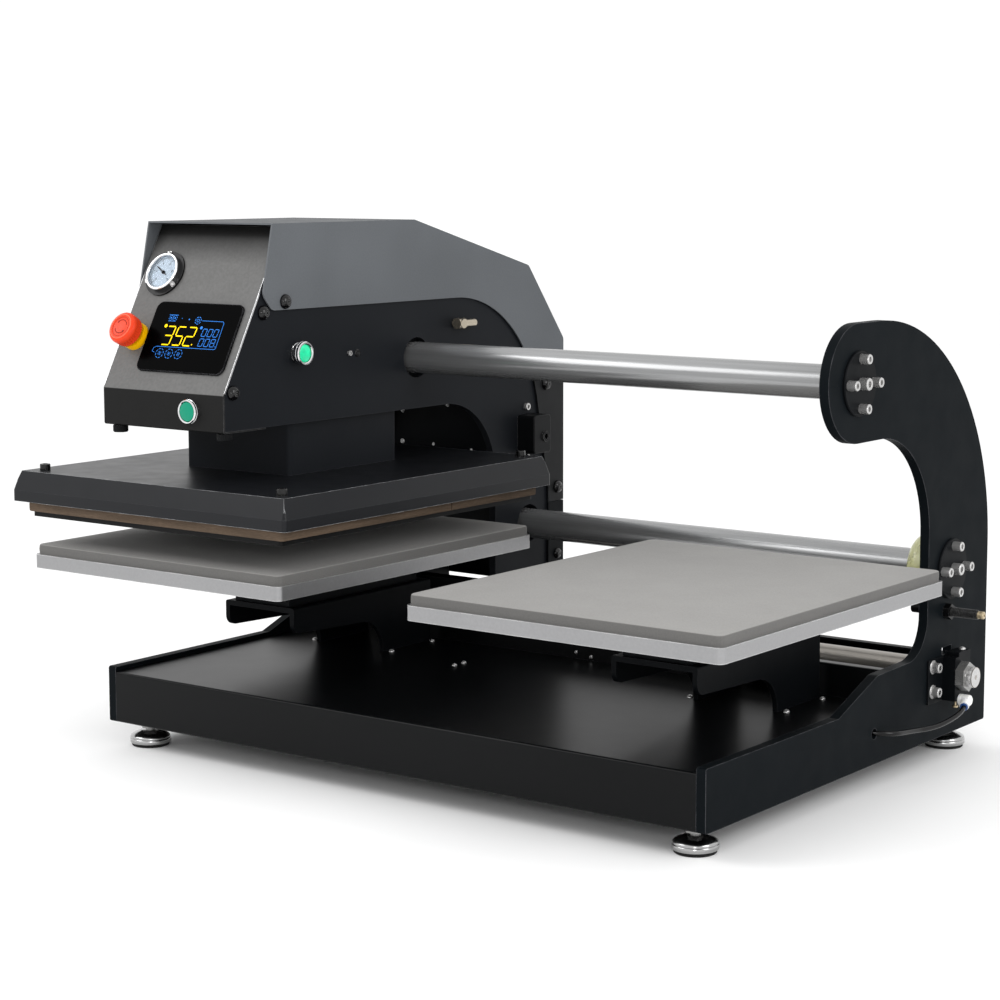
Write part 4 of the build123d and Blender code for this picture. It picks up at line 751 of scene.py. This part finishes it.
def make_buttons():
    front = place(HEAD_X + 44.5, PANEL_FRONT, 436.5, (0, -1, 0), (0, 0, 1))
    bezels = Shape()
    bezels.lathe(front, [(11.9, 0), (14.5, 0), (14.5, 2.2), (14.1, 2.5), (14.1, 3.0), (14.5, 3.3),
                         (14.4, 4.9), (13.6, 5.9), (12.6, 6.0), (11.95, 5.2), (11.9, 0)], 72)
    side = place(HEAD_X + HEAD_HALF, -90.0, 499.7, (1, 0, 0), (0, 0, 1))
    bezels.lathe(side, [(10.9, 0), (12.5, 0), (12.5, 1.6), (12.0, 1.9), (12.0, 2.4), (12.5, 2.7), (12.5, 4.6),
                        (12.0, 4.9), (12.0, 5.5), (12.5, 5.8), (12.5, 8.0), (14.5, 8.0), (14.5, 9.4), (14.1, 9.7),
                        (14.1, 10.2), (14.5, 10.5), (14.4, 13.0), (13.4, 14.0), (12.0, 14.0), (10.95, 13.0),
                        (10.9, 0)], 72)
    bezels.make("button_rings", "head", "chrome", "chrome_rail", sharp=35, stands_for=("button_bezels",))
    start = Shape()
    start.lathe(front, [(0, -3.3), (11.6, -3.3), (11.6, 4.4), (11.1, 5.2), (9.6, 5.65), (0, 5.7)], 64)
    start.make("start_lens", "start_button", "teal", "teal", sharp=35, stands_for=("start_cap",))
    lens = Shape()
    lens.lathe(side, [(0, 3.0), (10.6, 3.0), (10.6, 11.0), (10.3, 11.9), (9.4, 12.5), (8.0, 12.7), (0, 12.9)], 64)
    lens.make("side_lens", "side_button", "lit", "lit_green", sharp=35, stands_for=("side_cap",))


make_buttons()


# Fasteners that the photograph shows

def make_head_fasteners():
    rear_y = 440.0                       # the screws down the head's rear leg
    dark, bright = Shape(), Shape()
    for sign in (1, -1):
        x = HEAD_X + sign * HOOD_HALF
        for y, z in ((-115.3, 562.7), (413.1, 426.2), (rear_y, 281.0)):
            dome_screw(dark, place(x, y, z, (sign, 0, 0)), 8.8, 6.6)
        for y, z in ((-150.3, 550.8), (-204.0, 460.0)):
            dome_screw(dark, place(HEAD_X + sign * HEAD_HALF, y, z, (sign, 0, 0)), 8.8, 7.4)
        dome_screw(dark, place(x, rear_y, 187.6, (sign, 0, 0)), 7.4, 5.2)
    dark.make("cheek_screws", "head", "dark_screw", "black_plastic", sharp=40)
    wall = HEAD_X + HEAD_HALF
    cap_screw(bright, place(wall, 4.8, 493.5, (1, 0, 0)), 3.4, 3.0)
    for z in (398.0, 328.0):
        cap_screw(bright, place(wall, 372.0, z, (1, 0, 0)), 5.0, 5.0)
    bright.make("head_screws", "head", "screw", "screw_steel", sharp=35)
    # Screws under the arch, in the paler copy of screw steel: painted light.
    pale = Shape()
    for x, z, r in ((-356.5, 389.5, 3.4), (-356.9, 346.5, 3.4), (-277.5, 401.1, 2.8), (-252.9, 400.5, 2.8),
                    (-302.6, 345.8, 2.2), (-237.4, 342.1, 2.2)):
        dome_screw(pale, place(x, REAR_PANEL_Y, z, (0, -1, 0)), r, r * 0.7)
    pale.make("rear_panel_screws", "head", "screw_painted_lit", "screw_steel", sharp=35)
    plug = Shape()
    plug.lathe(place(wall, 20.5, 492.8, (1, 0, 0)), [(0, -0.5), (5.0, -0.5), (5.0, 0.6), (4.4, 1.1), (0, 1.3)], 36)
    plug.make("side_plug", "head", "dark_screw", "black_plastic")


def make_frame_fasteners():
    bright = Shape()
    for y in (100.5, 119.7):
        dome_screw(bright, place(-109.0, y, DECK_Z), 3.4, 2.6)
    for x, z in ((-10.5, 104.1), (13.0, 100.5)):
        dome_screw(bright, place(x, 228.0, z, (0, -1, 0)), 2.6, 2.0)
    for mid in STATIONS.values():
        for sx in (-1, 1):
            for y in (122.0, 206.0):
                dome_screw(bright, place(mid + sx * 66.0, y, DECK_Z), 4.0, 3.0)
    bright.make("deck_screws", "frame", "screw", "screw_steel", sharp=35)
    heads = Shape()
    bolt_circle, bolt_h = 28.0, 11.5
    for sign in (1, -1):
        for y, z in RAIL_AXES:
            out = place(sign * RAIL_END, y, z, (sign, 0, 0))
            cap_screw(heads, out, 7.1, bolt_h)
            for turn in range(4):
                spot = out @ Matrix.Rotation(math.pi / 2 * turn, 4, "Z") @ Matrix.Translation((bolt_circle, 0, 0))
                cap_screw(heads, spot, 5.8, bolt_h)
    heads.make("rail_bolts", "frame", "screw", "screw_steel", sharp=30, stands_for=("rail_screws",))
    ends = Shape()
    for sign in (1, -1):
        for z in (93.0, 123.0):
            spot = place(sign * 442.5, 331.0, z, (sign, 0, 0))
            washer(ends, spot, 8.4)
            cap_screw(ends, spot, 6.0, 10.2)
        dome_screw(ends, place(sign * 452.0, 390.0, 137.0), 4.2, 2.8)
        nose = place(sign * 471.0, 372.0, 108.0, (sign, 0, 0))
        ends.lathe(nose, [(0, 0.2), (12.7, 0.2), (12.7, 7.0), (11.8, 8.6), (3.0, 8.6), (2.2, 7.8), (0, 7.6)], 64)
    ends.make("drive_bolts", "frame", "screw", "screw_steel", sharp=30)
    bleed = Shape()
    for sign in (1, -1):
        bleed.lathe(place(sign * 452.0, 374.0, 78.0, (0, 0, -1)),
                    [(0, -0.5), (2.2, -0.5), (2.2, 3.0), (1.3, 3.4), (1.3, 8.0), (3.6, 8.2), (3.6, 10.4),
                     (0, 10.8)], 24)
    bleed.make("bleed_screws", "frame", "brass", "brass", sharp=35)


make_head_fasteners()
make_frame_fasteners()


# Push-in elbow: turned foot and barrel, round outlet with a blue release collar

def make_elbow():
    elbow = Shape()
    foot = place(ELBOW.x - 8.0, ELBOW.y, ELBOW.z, (1, 0, 0), (0, 0, 1))
    elbow.lathe(foot, [(0, 0), (6.9, 0), (6.9, 3.6), (6.2, 4.0), (6.2, 4.8), (6.8, 5.2), (6.9, 11.5), (6.5, 13.4),
                       (5.2, 14.6), (3.0, 15.0), (0, 15.0)], 48)
    outlet = place(*ELBOW, HOSE_WAY, (0, 0, 1))
    elbow.lathe(outlet, [(0, 0), (5.6, 0.5), (5.6, 8.6), (5.2, 9.0), (5.2, 9.8), (6.0, 10.2), (6.0, 13.6),
                         (5.6, 14.0), (4.4, 14.0), (0, 13.6)], 48)
    elbow.make("elbow_body", "frame", "white", "white_plastic", sharp=35, stands_for=("push_fitting",))
    collar = Shape()
    bore = HOSE_R + 0.05
    collar.lathe(outlet, [(bore, 13.4), (4.3, 13.4), (4.3, 15.0), (5.0, 15.2), (5.0, 16.2), (4.6, 16.6),
                          (bore, 16.6), (bore, 13.4)], 36)
    collar.make("elbow_collar", "frame", "blue", "white_plastic", sharp=35)


make_elbow()


# Knurled thumb screws under the control box

def make_thumb_screws():
    shape = Shape()
    for x in (-86.0, 86.0):
        shape.lathe(place(HEAD_X + x, -205.0, 413.0, (0, 0, -1)),
                    [(0, 0), (5.0, 0), (5.0, 1.0), (8.2, 1.0), (8.8, 1.6), (8.8, 2.0, 0.35), (8.8, 9.0, 0.35),
                     (8.6, 9.4), (8.0, 10.0), (0, 10.0)], 96, 24)
    shape.make("knurled_knobs", "head", "plastic", "black_plastic", sharp=50, stands_for=("thumb_screws",))


make_thumb_screws()


# Shock absorbers: threaded bodies, each with a bore for its plunger, two nuts and a turned tail

def make_shocks():
    threads, tails = Shape(), Shape()
    bore, bore_end, turns, pitch, nut_h = 2.6, 19.2, 33, 2.05, 8.0
    for sign in (1, -1):
        axis = place(sign * 415.0, 368.0, 186.0, (sign, 0, 0))
        profile = [(0, bore_end), (bore, bore_end), (bore, 0.5), (5.4, 0.3)]
        for k in range(turns):
            h = 0.7 + pitch * k
            profile += [(6.0, h), (6.0, h + 0.5), (5.1, h + 1.25)]
        threads.lathe(axis, profile + [(5.2, 68.0), (0, 68.0)], 36)
        for h0 in (5.0, 25.0):
            threads.lathe(axis, [(5.3, h0), (9.8, h0), (9.8, h0 + nut_h), (5.3, h0 + nut_h), (5.3, h0)], 6)
        tails.lathe(axis, [(0, 67.5), (4.6, 67.5), (4.6, 69.5), (4.0, 69.9), (4.0, 70.6), (4.6, 71.0),
                           (4.6, 71.3, 0.12), (4.6, 74.6, 0.12), (4.2, 75.6), (3.0, 76.0), (1.6, 76.0),
                           (1.4, 74.6), (0, 74.6)], 48, 16)
    threads.make("shock_threads", "frame", "thread", "black_plastic", sharp=25, stands_for=("shock_bodies",))
    tails.make("shock_tails", "frame", "brass", "brass", sharp=35)


make_shocks()


# Levelling feet: turned cups with a groove, hollow below for the rubber

def make_feet():
    cups = Shape()
    rim, rim_z = 23.4, 4.0
    for sx in (-1, 1):
        for y in (-142.0, 441.0):
            foot = place(sx * 405.0, y, 0)
            cups.lathe(foot, [(rim, rim_z), (25.0, 4.2), (25.5, 5.0), (25.5, 9.0), (25.0, 9.6), (24.6, 10.0),
                              (25.2, 10.5), (25.3, 11.4), (24.4, 13.2), (21.5, 15.4), (17.0, 17.3), (13.4, 18.2),
                              (12.0, 19.0), (0, 19.0)], 72)
            cups.lathe(foot, [(rim, rim_z), (rim, 7.1), (0, 7.1)], 72)
    bmesh.ops.remove_doubles(cups.bm, verts=cups.bm.verts, dist=1e-7)
    cups.make("turned_foot_cups", "frame", "cup", "zinc", sharp=40, stands_for=("foot_cups",))


make_feet()


# Light and floor

def area_light(name, location, target, size, power):
    data = bpy.data.lights.new(name, "AREA")
    data.shape, data.size, data.size_y, data.energy = "RECTANGLE", size[0], size[1], power
    lamp = bpy.data.objects.new(name, data)
    lamp.location = location
    lamp.rotation_mode = "QUATERNION"
    lamp.rotation_quaternion = (Vector(target) - Vector(location)).to_track_quat("-Z", "Y")
    lamp.visible_camera = False
    bpy.context.scene.collection.objects.link(lamp)


def make_stage():
    bm = bmesh.new()
    bmesh.ops.create_grid(bm, x_segments=1, y_segments=1, size=9.0)
    mesh = bpy.data.meshes.new("floor")
    bm.to_mesh(mesh)
    bm.free()
    mesh.materials.append(shader("pale_floor", (0.955, 0.955, 0.955), 0.95, spec=0.0, mottle=0.004, grain=0.002,
                                 bump=0.0))
    floor = bpy.data.objects.new("floor", mesh)
    bpy.context.scene.collection.objects.link(floor)
    world = bpy.data.worlds.new("studio")
    world.use_nodes = True
    world.node_tree.nodes["Background"].inputs["Color"].default_value = (1, 1, 1, 1)
    world.node_tree.nodes["Background"].inputs["Strength"].default_value = 1.07
    bpy.context.scene.world = world
    bpy.context.scene.view_settings.view_transform = "Standard"
    area_light("key", (-1.55, -1.50, 1.90), (-0.28, -0.28, 0.55), size=(1.5, 1.1), power=21)
    area_light("side", (2.6, -0.2, 1.5), (0, 0, 0.3), size=(1.2, 1.6), power=22)
    area_light("spark", (1.66, -2.36, 0.96), (-0.1, 0.0, 0.4), size=(0.25, 0.25), power=9)


make_stage()
